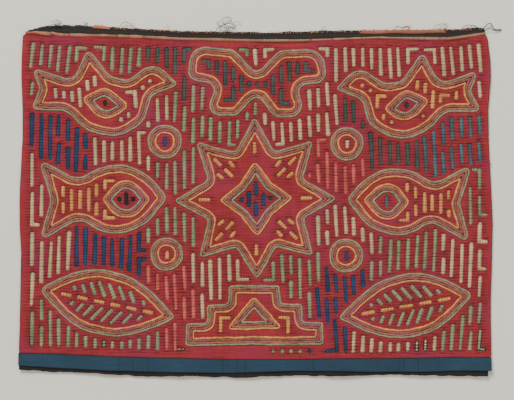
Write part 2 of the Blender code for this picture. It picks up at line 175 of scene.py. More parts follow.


# %% The cottons of this panel
# Each is named for its cloth and its dye. The colours are its light and dark shade of dye, the painted
# shade of its creases, folds and edges and, where it has them, the patches in which it has faded to another
# hue
COTTONS = {
    # The cloths: turkey red wears towards rose, black goes rusty, and tight poplin is smooth and even
    "red": cotton("turkey_red_cotton", "#95272D", "#741A1F", "#2A080B", patch="#822239", slub=0.65),
    "black": cotton("black_cotton_rusty", "#2D2621", "#1B1714", "#0C0B0A"),
    "blue": cotton("blue_cotton_poplin", "#1F3A4C", "#162C3A", "#0C1820", slub=0.35, relief=0.2),
    # In the top seam: the rolled edge is rubbed pinkish, and the yoke's torn scraps are dull and slubby
    "tan": cotton("tan_cotton_rolled", "#A07656", "#7A583E", "#2A1A12", patch="#A8664A", slub=0.4),
    "salmon": cotton("salmon_cotton_frayed", "#AE684C", "#8A503A", "#4A2418", slub=0.6),
    # The strips of the outlines, which give the bands their green, wine, rosy and bright yellow lines
    "sage": cotton("sage_green_cotton", "#8F926C", "#6A7552", "#2C2C22", patch="#8E8062"),
    "mauve": cotton("mauve_cotton_faded", "#904E47", "#703832", "#381816", patch="#844258"),
    "brown": cotton("rosy_brown_cotton", "#A0644A", "#7C4A3A", "#3C1E18", patch="#8A504A"),
    "gold": cotton("yellow_orange_cotton", "#DA9A4A", "#B27634", "#5A331C", patch="#CC8446"),
    # The scraps in the slits: the dark ones look like deep holes, the pale ones like stitches of light
    "cobalt": cotton("cobalt_blue_cotton", "#1E3E62", "#142845", "#0A1626"),
    "teal": cotton("teal_cotton", "#50646A", "#38484C", "#1A2426", slub=0.7),
    "slate": cotton("slate_green_cotton", "#465249", "#303A33", "#181C18"),
    "beige": cotton("beige_cotton", "#D0B284", "#A88A60", "#584430", patch="#A49A6C", slub=0.6),
    "rose": cotton("rose_pink_cotton", "#CA6052", "#A6443E", "#5A1C1C", slub=0.6),
    "ink": cotton("ink_black_cotton", "#22201E", "#141312", "#080808"),
    # Between the strips a dark line of under cloth and painted shadow, and the thread standing out of the top
    # edge
    "shadow": cotton("dark_red_painted_shadow_cloth", "#582A24", "#40201A", "#281210", slub=0.3),
    "grey": cotton("grey_sewing_thread", "#5A5C60", "#3A3C40", "#202022"),
}
print("materials:", len(bpy.data.materials))

# %% [markdown]
# ## Making a piece
# Cloth is modelled point by point, because its folds, cuts and puckers follow rules and not primitives.
# One helper joins parts into an object at the origin. Each part is its points in mm and its faces, then,
# where it has them, its painted crease shade and its shades for "tone".


# %% Parts into a piece
def sew(name, parts, cottons, of_face=None):
    """An object from its parts, with its materials. Each face's material is the first, or of_face's."""
    points, faces, marks = [], [], {"painted_shade": [], "tone": []}
    total = 0
    for part_points, part_faces, *part_marks in parts:
        faces += [tuple(int(v) + total for v in face) for face in part_faces]
        total += len(part_points)
        points.append(part_points)
        part_marks += [np.zeros(len(part_points))] * 2
        for values, mark in zip(marks.values(), part_marks):
            values.append(mark)
    mesh = bpy.data.meshes.new(name)
    mesh.from_pydata((np.vstack(points) * MM).tolist(), [], faces)
    for key in cottons:
        mesh.materials.append(COTTONS[key])
    if of_face is not None:
        mesh.polygons.foreach_set("material_index", np.asarray(of_face, np.int32))
    for mark_name, values in marks.items():
        values = np.clip(np.concatenate(values), -1, 1)
        mesh.attributes.new(mark_name, "FLOAT", "POINT").data.foreach_set("value", values.astype(np.float32))
    mesh.shade_smooth()
    mesh.update()
    piece = bpy.data.objects.new(name, mesh)
    bpy.context.scene.collection.objects.link(piece)
    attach(piece, "root")
    print(name, "triangles:", sum(len(f) - 2 for f in faces))
    return piece


# %% Faces over a grid
def grid_faces(rows, columns):
    """Faces over a grid whose points run along X within each row, from the lowest row up."""
    return [
        (r * columns + c, r * columns + c + 1, (r + 1) * columns + c + 1, (r + 1) * columns + c)
        for r in range(rows - 1)
        for c in range(columns - 1)
    ]


def loop_faces(rows, count):
    """Faces over rows of points, each row a closed loop of count points."""
    return [
        (r * count + k, r * count + (k + 1) % count, (r + 1) * count + (k + 1) % count, (r + 1) * count + k)
        for r in range(rows - 1)
        for k in range(count)
    ]


# %% [markdown]
# ## Reading outlines off the solids
# The pieces have to lie where the solids do. So their outlines aren't written again here: the edge of a
# solid's upward faces is walked round, which gives closed loops in millimetres.


# %% Loops round a solid's upper side
def upper_loops(name):
    """The closed outlines of a solid's upward faces as (x, y) in mm, the largest first."""
    solid = bmesh.new()
    solid.from_mesh(nodes[name].data)
    bmesh.ops.remove_doubles(solid, verts=solid.verts, dist=1e-6)
    upward = {face for face in solid.faces if face.normal.z > 0.35}
    onward = {}
    for edge in solid.edges:
        if sum(face in upward for face in edge.link_faces) == 1:
            a, b = edge.verts
            onward.setdefault(a, []).append(b)
            onward.setdefault(b, []).append(a)
    loops = []
    while onward:
        first = next(iter(onward))
        walk = [first]
        before = None
        while True:
            ahead = [v for v in onward[walk[-1]] if v is not before]
            before = walk[-1]
            if not ahead or ahead[0] is first:
                break
            walk.append(ahead[0])
        for vertex in walk:
            onward.pop(vertex)
        loop = np.array([vertex.co[:2] for vertex in walk]) / MM
        loops.append(loop if area_of(loop) > 0 else loop[::-1])
    solid.free()
    return sorted(loops, key=area_of, reverse=True)


def area_of(loop):
    """The signed area of a closed loop, positive when counter-clockwise."""
    x, y = loop[:, 0], loop[:, 1]
    return 0.5 * float(np.sum(x * np.roll(y, -1) - y * np.roll(x, -1)))


# %% Evening out and softening a loop
def evened(loop, step):
    """The closed loop with equally spaced points about step apart."""
    closed = np.vstack([loop, loop[:1]])
    run = np.concatenate([[0], np.cumsum(np.linalg.norm(np.diff(closed, axis=0), axis=1))])
    count = max(8, round(run[-1] / step))
    marks = np.arange(count) * run[-1] / count
    return np.stack([np.interp(marks, run, closed[:, k]) for k in (0, 1)], axis=1)


def softened(loop, step, reach):
    """The closed loop, evened and rounded as cloth rounds a fold, over about reach."""
    points = evened(loop, step)
    count = len(points)
    offset = np.arange(count)
    offset = np.minimum(offset, count - offset) * step
    weights = np.exp(-0.5 * (offset / reach) ** 2)
    weights /= weights.sum()
    spectrum = np.fft.fft(weights)
    return np.stack([np.fft.ifft(np.fft.fft(points[:, k]) * spectrum).real for k in (0, 1)], axis=1)


# %% Normals and loops further in
def inward(loop):
    """Unit normals at each point of a counter-clockwise loop, to its inside."""
    along = np.roll(loop, -1, axis=0) - np.roll(loop, 1, axis=0)
    along /= np.maximum(np.linalg.norm(along, axis=1), 1e-9)[:, None]
    return np.stack([-along[:, 1], along[:, 0]], axis=1)


def gap_to(points, loop):
    """The distance of each point from a closed loop."""
    along = np.roll(loop, -1, axis=0) - loop
    size = np.maximum((along * along).sum(axis=1), 1e-12)
    away = points[:, None, :] - loop
    share = np.clip((away * along).sum(axis=2) / size, 0, 1)
    return np.sqrt(((away - share[..., None] * along) ** 2).sum(axis=2)).min(axis=1)


def further_in(loop, depth):
    """The closed loop at that depth inside a counter-clockwise loop, its crossings dropped.

    An outward corner becomes a fan of points about 0.6 mm apart, and points nearer than the depth go.
    """
    edges = np.roll(loop, -1, axis=0) - loop
    edges /= np.linalg.norm(edges, axis=1)[:, None]
    normals = np.stack([-edges[:, 1], edges[:, 0]], axis=1)
    points = []
    for k, place in enumerate(loop):
        before, after = normals[k - 1], normals[k]
        angle = math.atan2(before[0] * after[1] - before[1] * after[0], before @ after)
        fan = max(1, math.ceil(-angle * depth / 0.6))
        shares = [0.5] if fan == 1 else [s / fan for s in range(fan + 1)]
        reach = depth / math.cos(angle / 2) if fan == 1 else depth
        for share in shares:
            c, s = math.cos(angle * share), math.sin(angle * share)
            turned = (before[0] * c - before[1] * s, before[0] * s + before[1] * c)
            points.append(place + reach * np.array(turned))
    points = np.array(points)
    return points[gap_to(points, loop) > 0.998 * depth]


def inside(points, loop):
    """Which points lie inside a closed loop."""
    x, y = points[:, 0], points[:, 1]
    hit = np.zeros(len(points), bool)
    for (x0, y0), (x1, y1) in zip(loop, np.roll(loop, -1, axis=0)):
        if y0 != y1:
            crosses = (y0 > y) != (y1 > y)
            hit ^= crosses & (x < (x1 - x0) * (y - y0) / (y1 - y0) + x0)
    return hit


def tree_of(points):
    """A search tree over flat points."""
    tree = KDTree(len(points))
    for k, (x, y) in enumerate(points):
        tree.insert((x, y, 0), k)
    tree.balance()
    return tree


def nearest_in(tree, points):
    """The distance of each point from the nearest in a tree."""
    return np.array([tree.find((x, y, 0))[2] for x, y in points])


# %% Edges of a long piece along X
def edge_lines(loop, xs):
    """The lower and upper edge of a closed loop at each X."""
    left, right = int(loop[:, 0].argmin()), int(loop[:, 0].argmax())
    around = np.roll(loop, -left, axis=0)
    split = (right - left) % len(loop)
    lower, upper = around[: split + 1], np.vstack([around[split:], around[:1]])[::-1]
    return np.interp(xs, lower[:, 0], lower[:, 1]), np.interp(xs, upper[:, 0], upper[:, 1])


# %% [markdown]
# ## How the cloth lies
# The backing's solid knows where the panel lifts off the table. Its upper side is sampled from above on a
# grid, smoothed a little, and read between the grid's points. On top of that the sewn layers have a
# slow unevenness of a few tenths of a millimetre.


# %% Height of the laid cloth
GRID_STEP = 4.0
grid_x = np.arange(-256, 257, GRID_STEP)
grid_y = np.arange(-192, 193, GRID_STEP)
backing_mesh = nodes["backing_cloth"].data
backing_faces = [tuple(p.vertices) for p in backing_mesh.polygons]
backing_tree = BVHTree.FromPolygons([v.co for v in backing_mesh.vertices], backing_faces)


def top_under(x, y):
    """The backing's upper side at a place, in mm. Beside the cloth, the place steps in until it is on it."""
    for share in np.linspace(1.0, 0.9, 26):
        for u, v in ((share, 1), (1, share), (share, share)):
            hit = backing_tree.ray_cast(Vector((x * u * MM, y * v * MM, 0.05)), Vector((0, 0, -1)))[0]
            if hit:
                return hit.z / MM
    return BACKING_TOP


lift_grid = np.array([[top_under(x, y) - BACKING_TOP for x in grid_x] for y in grid_y])
padded_grid = np.pad(lift_grid, 1, mode="edge")
lift_grid = (
    padded_grid[1:-1, 1:-1] * 0.4
    + (padded_grid[:-2, 1:-1] + padded_grid[2:, 1:-1]) * 0.15
    + (padded_grid[1:-1, :-2] + padded_grid[1:-1, 2:]) * 0.15
)


def lift(x, y):
    """How far the cloth is lifted off the table at places, in mm."""
    u = np.clip((x - grid_x[0]) / GRID_STEP, 0, len(grid_x) - 1.001)
    v = np.clip((y - grid_y[0]) / GRID_STEP, 0, len(grid_y) - 1.001)
    c, r = u.astype(int), v.astype(int)
    u, v = u - c, v - r
    low = lift_grid[r, c] * (1 - u) + lift_grid[r, c + 1] * u
    high = lift_grid[r + 1, c] * (1 - u) + lift_grid[r + 1, c + 1] * u
    return low * (1 - v) + high * v


def lie(x, y):
    """The lift and the slow unevenness of the sewn layers, in mm."""
    slow = 0.10 * np.sin(x / 17 + 1.3 * np.sin(y / 29)) + 0.10 * np.sin(y / 13 + 1.7 * np.sin(x / 31))
    slow += 0.06 * np.sin((x + y) / 9.0) * np.sin((x - 1.4 * y) / 14.0)
    return lift(x, y) + slow


print("lift in mm:", round(lift_grid.min(), 2), "to", round(lift_grid.max(), 2))

# %% [markdown]
# Hand-sewn edges stray a little from the smooth lines of the solids. How far is written in tables, read
# off a straight comparison of the edges every few centimetres.

# %% Strays of the edges
# Places and strays in mm: x and upwards for the edges that run across, y and to the right for the sides.
# The piping's width is a share of the solid's
LOW_X = [-247, -203, -162, -120, -79, -37, 5, 46, 88, 129, 171, 202, 245]
STRAYS = {
    "piping": (
        [-240, -224, -203, -162, -120, -79, -37, 5, 46, 88, 129, 171, 202, 228, 240],
        [0.6, 1.35, 1.0, 1.8, 1.4, 0.0, -0.3, -1.2, -1.4, -0.2, 1.2, 0.5, -0.8, 0.4, 0.8],
    ),
    "piping width": (
        [-240, -203, -162, -79, 5, 46, 88, 129, 171, 202, 240],
        [1.0, 1.0, 0.78, 0.82, 0.95, 0.85, 0.6, 0.65, 0.9, 0.92, 0.95],
    ),
    "hem top": (LOW_X, [-1.1, -0.6, -1.1, -1.3, -0.6, -0.6, 0.0, 0.2, 0.8, 0.4, 0.1, 0.2, -0.6]),
    "hem low": (LOW_X, [-0.9, -1.2, -0.9, -1.2, -0.6, -0.8, 0.6, 1.9, 1.3, 0.3, -0.1, 0.4, 0.1]),
    "backing low": (LOW_X, [-1.6, -1.1, -1.4, -1.7, -2.0, -1.9, -1.0, -1.1, -0.6, -0.3, -0.7, -0.4, -0.9]),
    "left": (
        [-150, -124, -93, -62, -31, 0, 31, 63, 94, 125, 146, 162],
        [-1.2, -0.7, -0.9, 0.1, -0.9, -0.9, 0.4, 1.5, 0.4, -0.9, -1.7, -1.8],
    ),
    "right": (
        [-150, -124, -93, -31, 31, 63, 94, 125, 146, 162],
        [1.1, 0.4, 0.0, -0.4, -0.3, -0.5, 0.3, 1.7, 1.8, 0.4],
    ),
}


def strays(edge, places):
    """The stray of an edge at places."""
    return np.interp(places, *STRAYS[edge])


# %% [markdown]
# ## The outlines of the motifs
# A band of strips runs round every motif and round every window cut in one. Its outer edge comes
# from its solid. The middle and the inner edge are found further in, as the sewer folds each layer a
# little inside the last.

# %% Loops of every band
BAND_NAMES = sorted(name for name in nodes if name.endswith("_band") and name != "hem_band")
BAND_WIDTH = 9.4
band_outer = {name: softened(upper_loops(name)[0], 0.8, 0.9) for name in BAND_NAMES}
band_middle = {name: further_in(loop, BAND_WIDTH / 2) for name, loop in band_outer.items()}
band_inner = {name: further_in(loop, BAND_WIDTH) for name, loop in band_outer.items()}
middle_tree = tree_of(np.vstack([evened(loop, 0.8) for loop in band_middle.values()]))
red_outline = softened(upper_loops("ground_cloth")[0], 1.0, 1.2)
on_left, on_right = red_outline[:, 0] < -236, red_outline[:, 0] > 236
red_outline[on_left, 0] += strays("left", red_outline[on_left, 1])
red_outline[on_right, 0] += strays("right", red_outline[on_right, 1])
red_limit = evened(further_in(red_outline, 2.6), 0.8)
edge_tree = tree_of(np.vstack([*band_outer.values(), *band_inner.values(), red_limit]))
print("bands:", len(BAND_NAMES), "outline in m:", round(sum(len(p) for p in band_outer.values()) * 0.8e-3, 2))

# %% [markdown]
# ## Rows of slits
# The red between the outlines is filled with rows of upright slits. Each shows a scrap of coloured cotton
# from the layer below. The rows are laid out here as a sewer does: upright columns at an even pitch,
# cut into short lengths that keep clear of the outlines, in groups of one colour.

# %% Colours of the groups
# Each row is the middle of a group in mm, the cotton that shows in its slits, and their lean in degrees
GROUPS = [
    (-225, 150, "sage", -6),
    (-150, 152, "sage", -3),
    (-222, 66, "cobalt", -2),
    (-118, 58, "beige", 1),
    (-92, 152, "slate", 0),
    (88, 152, "beige", 1),
    (122, 58, "slate", 2),
    (150, 152, "beige", 2),
    (225, 150, "beige", 5),
    (222, 60, "teal", 4),
    (-234, 5, "beige", 0),
    (-97, -20, "sage", 1),
    (97, 20, "rose", 2),
    (234, 0, "sage", 0),
    (-228, -58, "beige", -2),
    (-150, -56, "cobalt", -1),
    (-228, -150, "sage", 0),
    (-90, -102, "rose", 2),
    (88, -98, "cobalt", 4),
    (160, -60, "sage", -2),
    (226, -64, "beige", -2),
    (226, -150, "sage", -5),
    (-86, 24, "sage", 0),
    (90, -24, "beige", 3),
    (-40, -88, "beige", 1),
    (40, -88, "sage", 2),
    (-30, 88, "sage", -2),
    (34, 90, "beige", 3),
    (-150, -152, "sage", -1),
    (150, -152, "beige", -3),
]

# The cotton in each motif and window, the lean of its slits in degrees, and their pitch in mm
FILLINGS = {
    "star_window_band": ("cobalt", 0, 7.6),
    "fish_left_band": ("gold", 0, 8.6),
    "fish_left_window_band": ("ink", 0, 7.2),
    "fish_right_band": ("gold", 1, 8.6),
    "fish_right_window_band": ("teal", 0, 7.2),
    "bird_left_band": ("beige", 4, 8.2),
    "bird_left_window_band": ("ink", 0, 6.8),
    "bird_right_band": ("gold", -4, 8.2),
    "bird_right_window_band": ("cobalt", 0, 6.8),
    "ring_upper_left_band": ("cobalt", 0, 6.0),
    "ring_upper_right_band": ("beige", 0, 6.0),
    "ring_lower_left_band": ("gold", 0, 6.0),
    "ring_lower_right_band": ("cobalt", 0, 6.0),
    "butterfly_band": ("slate", 0, 8.4),
    "steps_band": ("gold", 0, 8.8),
    "steps_window_band": ("sage", 0, 6.8),
}


# %% One slit and its outline
class Slit:
    """A cut: its middle, length and width in mm, its tilt, taper and cotton, and a foot if it has one."""

    def __init__(self, x, y, long, wide, tilt, cotton_name):
        self.x, self.y, self.long, self.wide = x, y, long, wide
        self.tilt, self.cotton = tilt, cotton_name
        self.taper = chance.uniform(-0.22, 0.22)
        self.tone = chance.uniform(-0.3, 0.3)
        self.foot, self.foot_end, self.plain = 0.0, -1, False
        self.slants = end_chance.uniform(-1, 1, 2)
        self.blunt = end_chance.uniform(0.45, 0.9, 2)

    def turned(self, points):
        """Points from the slit's own axes to the panel's."""
        c, s = math.cos(self.tilt), math.sin(self.tilt)
        points = np.asarray(points, float)
        across, along = points[:, 0], points[:, 1]
        return np.stack([self.x + across * c - along * s, self.y + across * s + along * c], axis=1)

    def end(self, which):
        """The middle of its lower end, -1, or upper end, 1."""
        return self.turned([(0, which * (self.long / 2 - self.wide / 2))])[0]

    def spine(self):
        """Points down its middle, and along its foot."""
        t = np.linspace(-self.long / 2 + 1, self.long / 2 - 1, max(2, int(self.long / 1.5)))
        points = [(0.0, v) for v in t]
        if self.foot:
            level = self.foot_end * (self.long / 2 - self.wide / 2)
            points += [(v, level) for v in np.linspace(0, self.foot, max(5, int(abs(self.foot))))]
        return self.turned(points)

    def outline(self):
        """Its cut edge, counter-clockwise, with rounded ends."""
        w, h, t = self.wide / 2, self.long / 2, self.taper
        low, high = w * (1 - t), w * (1 + t)
        if not self.foot:
            a, b = self.slants * min(0.9, self.long * 0.06)
            r, s = self.blunt
            corners = [(low, -h + max(a, 0), low * r), (high, h - max(b, 0), high * s)]
            corners += [(-high, h + min(b, 0), high * s), (-low, -h - min(a, 0), low * r)]
            return self.turned(rounded(corners))
        # Drawn with its foot at the lower end and to the right, then mirrored to where it goes
        f = abs(self.foot) + w
        corners = [(f, -h, w * 0.7), (f, -h + 1.7 * w, w * 0.7), (w, -h + 2 * w, 0.7)]
        corners += [(high, h, high * 0.9), (-high, h, high * 0.9), (-w, -h, 1.0)]
        points = rounded(corners)
        points[:, 0] *= math.copysign(1, self.foot)
        points[:, 1] *= -self.foot_end
        if area_of(points) < 0:
            points = points[::-1]
        return self.turned(points)


def rounded(corners):
    """A counter-clockwise outline whose corners (x, y, radius) are arcs."""
    points = []
    for k, (x, y, radius) in enumerate(corners):
        place = np.array((x, y), float)
        before = np.array(corners[k - 1][:2], float) - place
        after = np.array(corners[(k + 1) % len(corners)][:2], float) - place
        before /= np.linalg.norm(before)
        after /= np.linalg.norm(after)
        half = math.acos(float(np.clip(before @ after, -1, 1))) / 2
        halfway = (before + after) / np.linalg.norm(before + after)
        centre = place + halfway * radius / math.sin(half)
        start = place + before * radius / math.tan(half) - centre
        end = place + after * radius / math.tan(half) - centre
        first = math.atan2(start[1], start[0])
        sweep = (math.atan2(end[1], end[0]) - first + math.pi) % (2 * math.pi) - math.pi
        steps = max(2, round(abs(sweep) * radius / 0.9))
        for s in range(steps + 1):
            angle = first + sweep * s / steps
            points.append(centre + radius * np.array([math.cos(angle), math.sin(angle)]))
    return np.array(points)


# %% Laying out rows in one region
# The shortest stretch in mm that still takes a slit
SHORTEST_RUN = 4.4


def clear_of_edges(points, side, beside, ahead):
    """Which points leave room for a slit: beside on both its sides, and ahead at its end."""
    free = nearest_in(edge_tree, points) > ahead
    for way in (-2.0, 2.0):
        free[free] = nearest_in(edge_tree, points[free] + side * way) > beside
    return free


def lay_rows(allowed, middle, reach, tilt_deg, pitch, room, lengths, cotton_of, gap=4.6):
    """Slits in parallel columns wherever allowed(points) holds, with room (beside, ahead) to outlines."""
    slits = []
    tilt = math.radians(tilt_deg)
    axis = np.array([-math.sin(tilt), math.cos(tilt)])
    side = np.array([math.cos(tilt), math.sin(tilt)])
    runs = np.arange(-reach, reach, 0.7)
    for column in np.arange(-math.floor(reach / pitch), reach / pitch):
        offset = column * pitch + chance.uniform(-0.5, 0.5)
        points = middle + side * offset + axis * runs[:, None]
        free = allowed(points)
        free[free] = clear_of_edges(points[free], side, *room)
        free[[0, -1]] = False
        starts = np.flatnonzero(free & ~np.roll(free, 1))
        ends = np.flatnonzero(free & ~np.roll(free, -1))
        for a, b in zip(starts, ends):
            low, high = runs[a], runs[b]
            if high - low < SHORTEST_RUN:
                continue
            parts = max(1, round((high - low + gap) / (chance.uniform(*lengths) + gap)))
            long = (high - low - gap * (parts - 1)) / parts
            for part in range(parts):
                start = low + part * (long + gap) + chance.uniform(0, 0.9)
                end = low + part * (long + gap) + long - chance.uniform(0, 0.9)
                x, y = middle + side * offset + axis * (start + end) / 2
                wide = chance.uniform(3.7, 4.5)
                shade, lean = cotton_of(x, y)
                lean = tilt + math.radians(lean + chance.uniform(-1.4, 1.4))
                slits.append(Slit(x, y, max(end - start, wide * 1.15), wide, lean, shade))
    return slits


def group_of(x, y):
    """The cotton and the lean of the nearest group."""
    return min(GROUPS, key=lambda g: (g[0] - x) ** 2 + 1.3 * (g[1] - y) ** 2)[2:]


# %% Rows between the motifs
OUTER_BANDS = [name for name in BAND_NAMES if "window" not in name]


def open_red(points):
    """Which points are on the red and outside every motif."""
    free = inside(points, red_limit)
    for name in OUTER_BANDS:
        free &= ~inside(points, band_outer[name][::2])
    return free


slits = lay_rows(open_red, np.zeros(2), 240.0, 0, 9.3, (2.3, 3.4), (22, 40), group_of)
print("slits between motifs:", len(slits))

# %% Rows in the motifs and windows
# The room beside and ahead of a slit in a motif, and the range of its length, in mm
IN_MOTIF = ((1.5, 2.6), (13, 22))
for name in sorted(FILLINGS):
    shade, lean, pitch = FILLINGS[name]
    hole = band_inner[name]
    windows = [n for n in BAND_NAMES if n != name and n.startswith(name[:-5]) and "window" in n]

    def in_hole(points, hole=hole, windows=windows):
        free = inside(points, hole)
        for window in windows:
            free &= ~inside(points, band_outer[window])
        return free

    middle = (hole.min(axis=0) + hole.max(axis=0)) / 2
    reach = float(np.linalg.norm(hole.max(axis=0) - hole.min(axis=0))) / 2
    slits += lay_rows(in_hole, middle, reach, lean, pitch, *IN_MOTIF, lambda x, y: (shade, 0), gap=4.2)
print("slits with those in motifs:", len(slits))

# %% [markdown]
# Three motifs are filled by rule. The star has rays: one slit along the axis of each point, with a
# shorter one on both sides. The leaves have a midrib of dashes and slanting veins on both sides of it.

# %% Rays in the star
star = band_outer["star_band"]
star_middle = (star.min(axis=0) + star.max(axis=0)) / 2
for point in range(8):
    angle = math.radians(45 * point + 1)
    along = np.array([math.cos(angle), math.sin(angle)])
    beside = np.array([-along[1], along[0]])
    rays = [(46.5, 59.5, 0.0)] if point % 2 == 0 else [(32.5, 45.0, 0.0), (49.0, 60.5, 0.0)]
    rays += [(38.5, 47.5, -8.6), (38.5, 47.5, 8.6)] if point % 2 else []
    for near, far, off in rays:
        x, y = star_middle + along * (near + far) / 2 + beside * off
        slits.append(Slit(x, y, far - near, 4.0, angle - math.pi / 2 + off * 0.01, "gold"))
        slits[-1].plain = True

# %% Veins in the leaves
before_leaves = len(slits)
for name, turn in (("leaf_left_band", -12), ("leaf_right_band", 10)):
    hole = band_inner[name]
    middle = (hole.min(axis=0) + hole.max(axis=0)) / 2
    angle = math.radians(turn)
    along = np.array([math.cos(angle), math.sin(angle)])
    up = np.array([-along[1], along[0]])
    for way in (-1, 1):

        def half_leaf(points, way=way):
            return inside(points, hole) & ((points - middle) @ up * way > 4.6)

        slits += lay_rows(half_leaf, middle, 70, turn + 32 * way, 8.8, *IN_MOTIF, lambda x, y: ("sage", 0))

    def midrib(points):
        return inside(points, hole) & (np.abs((points - middle) @ up) < 1.2)

    slits += lay_rows(midrib, middle, 70, turn - 90, 200, (1.5, 5.0), (11, 15), lambda x, y: ("gold", 0))
for slit in slits[before_leaves:]:
    slit.plain = True
print("slits in all:", len(slits))

# %% [markdown]
# Where a row runs out beside an outline, the last slit turns a corner, like the letter L, so no
# ground is left bare. A short cut next to a longer one is merged into it as its foot.

# %% Feet
# In mm: how far off its level a foot may lie, how far beside its slit, how short a slit has to be to
# become one, how long a slit has to be to have one, and how far a new foot reaches
OFF_LEVEL = 3.6
BESIDE = (6, 11.5)
SHORT_SLIT = 8.5
LONG_SLIT = 9
NEW_FOOT = (5.5, 9.0)


def longest_beside(k):
    """The neighbour that a short slit k can become the foot of, and at which end."""
    short = slits[k]
    for j, other in enumerate(slits):
        if j == k or other.foot or other.plain or other.long < LONG_SLIT or other.cotton != short.cotton:
            continue
        for which in (-1, 1):
            away = np.array((short.x, short.y)) - other.end(which)
            if abs(away[1]) < OFF_LEVEL and BESIDE[0] < abs(away[0]) < BESIDE[1]:
                return j, which, away[0]
    return None


merged = set()
for k, slit in enumerate(slits):
    if slit.long < SHORT_SLIT and not slit.plain and inside(np.array([(slit.x, slit.y)]), red_limit)[0]:
        found = longest_beside(k)
        if found and found[0] not in merged:
            other = slits[found[0]]
            other.foot, other.foot_end = float(found[2]), found[1]
            merged.add(k)
slits = [slit for k, slit in enumerate(slits) if k not in merged]

spines = [slit.spine() for slit in slits]
owner = np.concatenate([np.full(len(p), k) for k, p in enumerate(spines)])
spine_points = np.vstack(spines)
feet = len(merged)
for k, slit in enumerate(slits):
    if slit.foot or slit.plain or slit.long < LONG_SLIT:
        continue
    others = spine_points[owner != k]
    for side, which in ((1, -1), (-1, -1), (1, 1), (-1, 1)):
        level = which * (slit.long / 2 - slit.wide / 2)
        foot = side * chance.uniform(*NEW_FOOT)
        tip = slit.turned([(foot, level), (foot / 2, level), (foot * 0.75, level)])
        clear = np.linalg.norm(others[:, None, :] - tip, axis=2).min() > 5.6
        if clear and nearest_in(edge_tree, tip).min() > 4.0 and inside(tip, red_limit).all():
            slit.foot, slit.foot_end = foot, which
            feet += 1
            break
slit_tree = tree_of(np.vstack([slit.spine() for slit in slits]))
print("slits with a foot:", feet, "slits left:", len(slits))

# %% [markdown]
# ## The red cloth
# The red top layer is one sheet with a real hole for every slit. Stitches about 3 mm apart draw its cut
# edges down, so between two slits it puckers into low ridges that run across. A flat lattice is laid
# with its lines along those creases, joined to the rims of the holes by a triangulation, and lifted.

# %% Puckers
# In mm: half a slit's width, a crease's width, how far the red rises beside a slit, sinks in a crease
# and in the seam under the piping, swells between outlines and sinks close beside one
HALF_SLIT = 2.0
CREASE_WIDTH = 0.7
SLIT_RISE = 0.14
CREASE_DEPTH = 0.55
SEAM_DEPTH = 0.5
OPEN_RISE = 0.18
BAND_SINK = 0.34


def wander(x, q):
    """How far a crease strays from its line, in mm."""
    slow = 0.9 * np.sin(x / 21 + q / 37) + 0.45 * np.sin(x / 8.3 - q / 19 + 1.0)
    return slow + 0.28 * np.sin(x / 3.4 + q / 6.5)


def crease_line(x, y):
    """The crease coordinate at places: a stitched crease runs where it is a multiple of the pitch."""
    q = y - wander(x, y)
    return y - wander(x, q)


def crease(x, y):
    """How deep in a stitched crease a place is, from 0 on a ridge to 1. Creases come and go along X."""
    q = crease_line(x, y) / STITCH_PITCH
    nearest = np.round(q)
    deep = np.exp(-(((q - nearest) * STITCH_PITCH / CREASE_WIDTH) ** 2))
    come_and_go = np.sin(x / 2.7 + 2.4 * nearest) * np.sin(x / 7.3 - 1.9 * nearest + 0.7)
    return deep * (0.74 + 0.4 * come_and_go)


piping_loop = softened(upper_loops("top_piping")[0], 1.0, 0.6)


def below_piping(x, y):
    """How far below the piping's lower edge a place is, in mm."""
    low, high = edge_lines(piping_loop, x)
    return low + strays("piping", x) + (high - low) * (1 - strays("piping width", x)) / 2 - y


def red_surface(points):
    """Height in mm, and the crease depth that is painted as shade, at places on the red cloth."""
    x, y = points[:, 0], points[:, 1]
    from_slit = np.maximum(nearest_in(slit_tree, points) - HALF_SLIT, 0)
    from_band = np.maximum(nearest_in(middle_tree, points) - BAND_WIDTH / 2, 0)
    near_slit = np.exp(-((from_slit / 4.5) ** 2))
    off_band = 1 - np.exp(-((from_band / 1.6) ** 2))
    from_edge = np.maximum(nearest_in(hem_side_tree, points) - 0.5, 0)
    deep = crease(x, y) * (0.2 + 0.8 * near_slit) * off_band * (1 - np.exp(-((from_edge / 2.2) ** 2)))
    height = lie(x, y) + RED_TOP + SLIT_RISE * near_slit - CREASE_DEPTH * deep
    height += OPEN_RISE * (1 - np.exp(-((from_band / 5.0) ** 2)))
    height -= BAND_SINK * np.exp(-((from_band / 1.2) ** 2))
    # The seam under the piping is a deep fold that comes and goes, and the hem's is a shallower one. The
    # creases and both seams are darkened with painted shade
    below = below_piping(x, y)
    seam = np.exp(-(((below - 0.9) / 0.9) ** 2)) * (0.62 + 0.38 * np.sin(x / 23 + 1.3 * np.sin(x / 9)))
    seam = np.maximum(seam, np.exp(-(((x + 221) / 13) ** 4) - ((below - 1.0) / 1.1) ** 2))
    hem_seam_shade = np.where(y < -150, 0.1 * np.exp(-((from_edge / 1.5) ** 2)), 0)
    deep = np.maximum(deep, np.maximum(0.85 * seam, hem_seam_shade))
    return height - SEAM_DEPTH * seam, deep


# %% Lattice and rims
# The lattice's spacing along and across the creases, and the width of the folded edge, in mm
LATTICE_X = 3.3
LATTICE_Y = 1.0
FOLD = 1.2
lattice = []
for q in np.arange(-174, 180, LATTICE_Y):
    xs = np.arange(-250, 250, LATTICE_X) + 0.8 * np.sin(q / 19)
    lattice.append(np.stack([xs, q + wander(xs, q)], axis=1))
lattice = np.vstack(lattice)
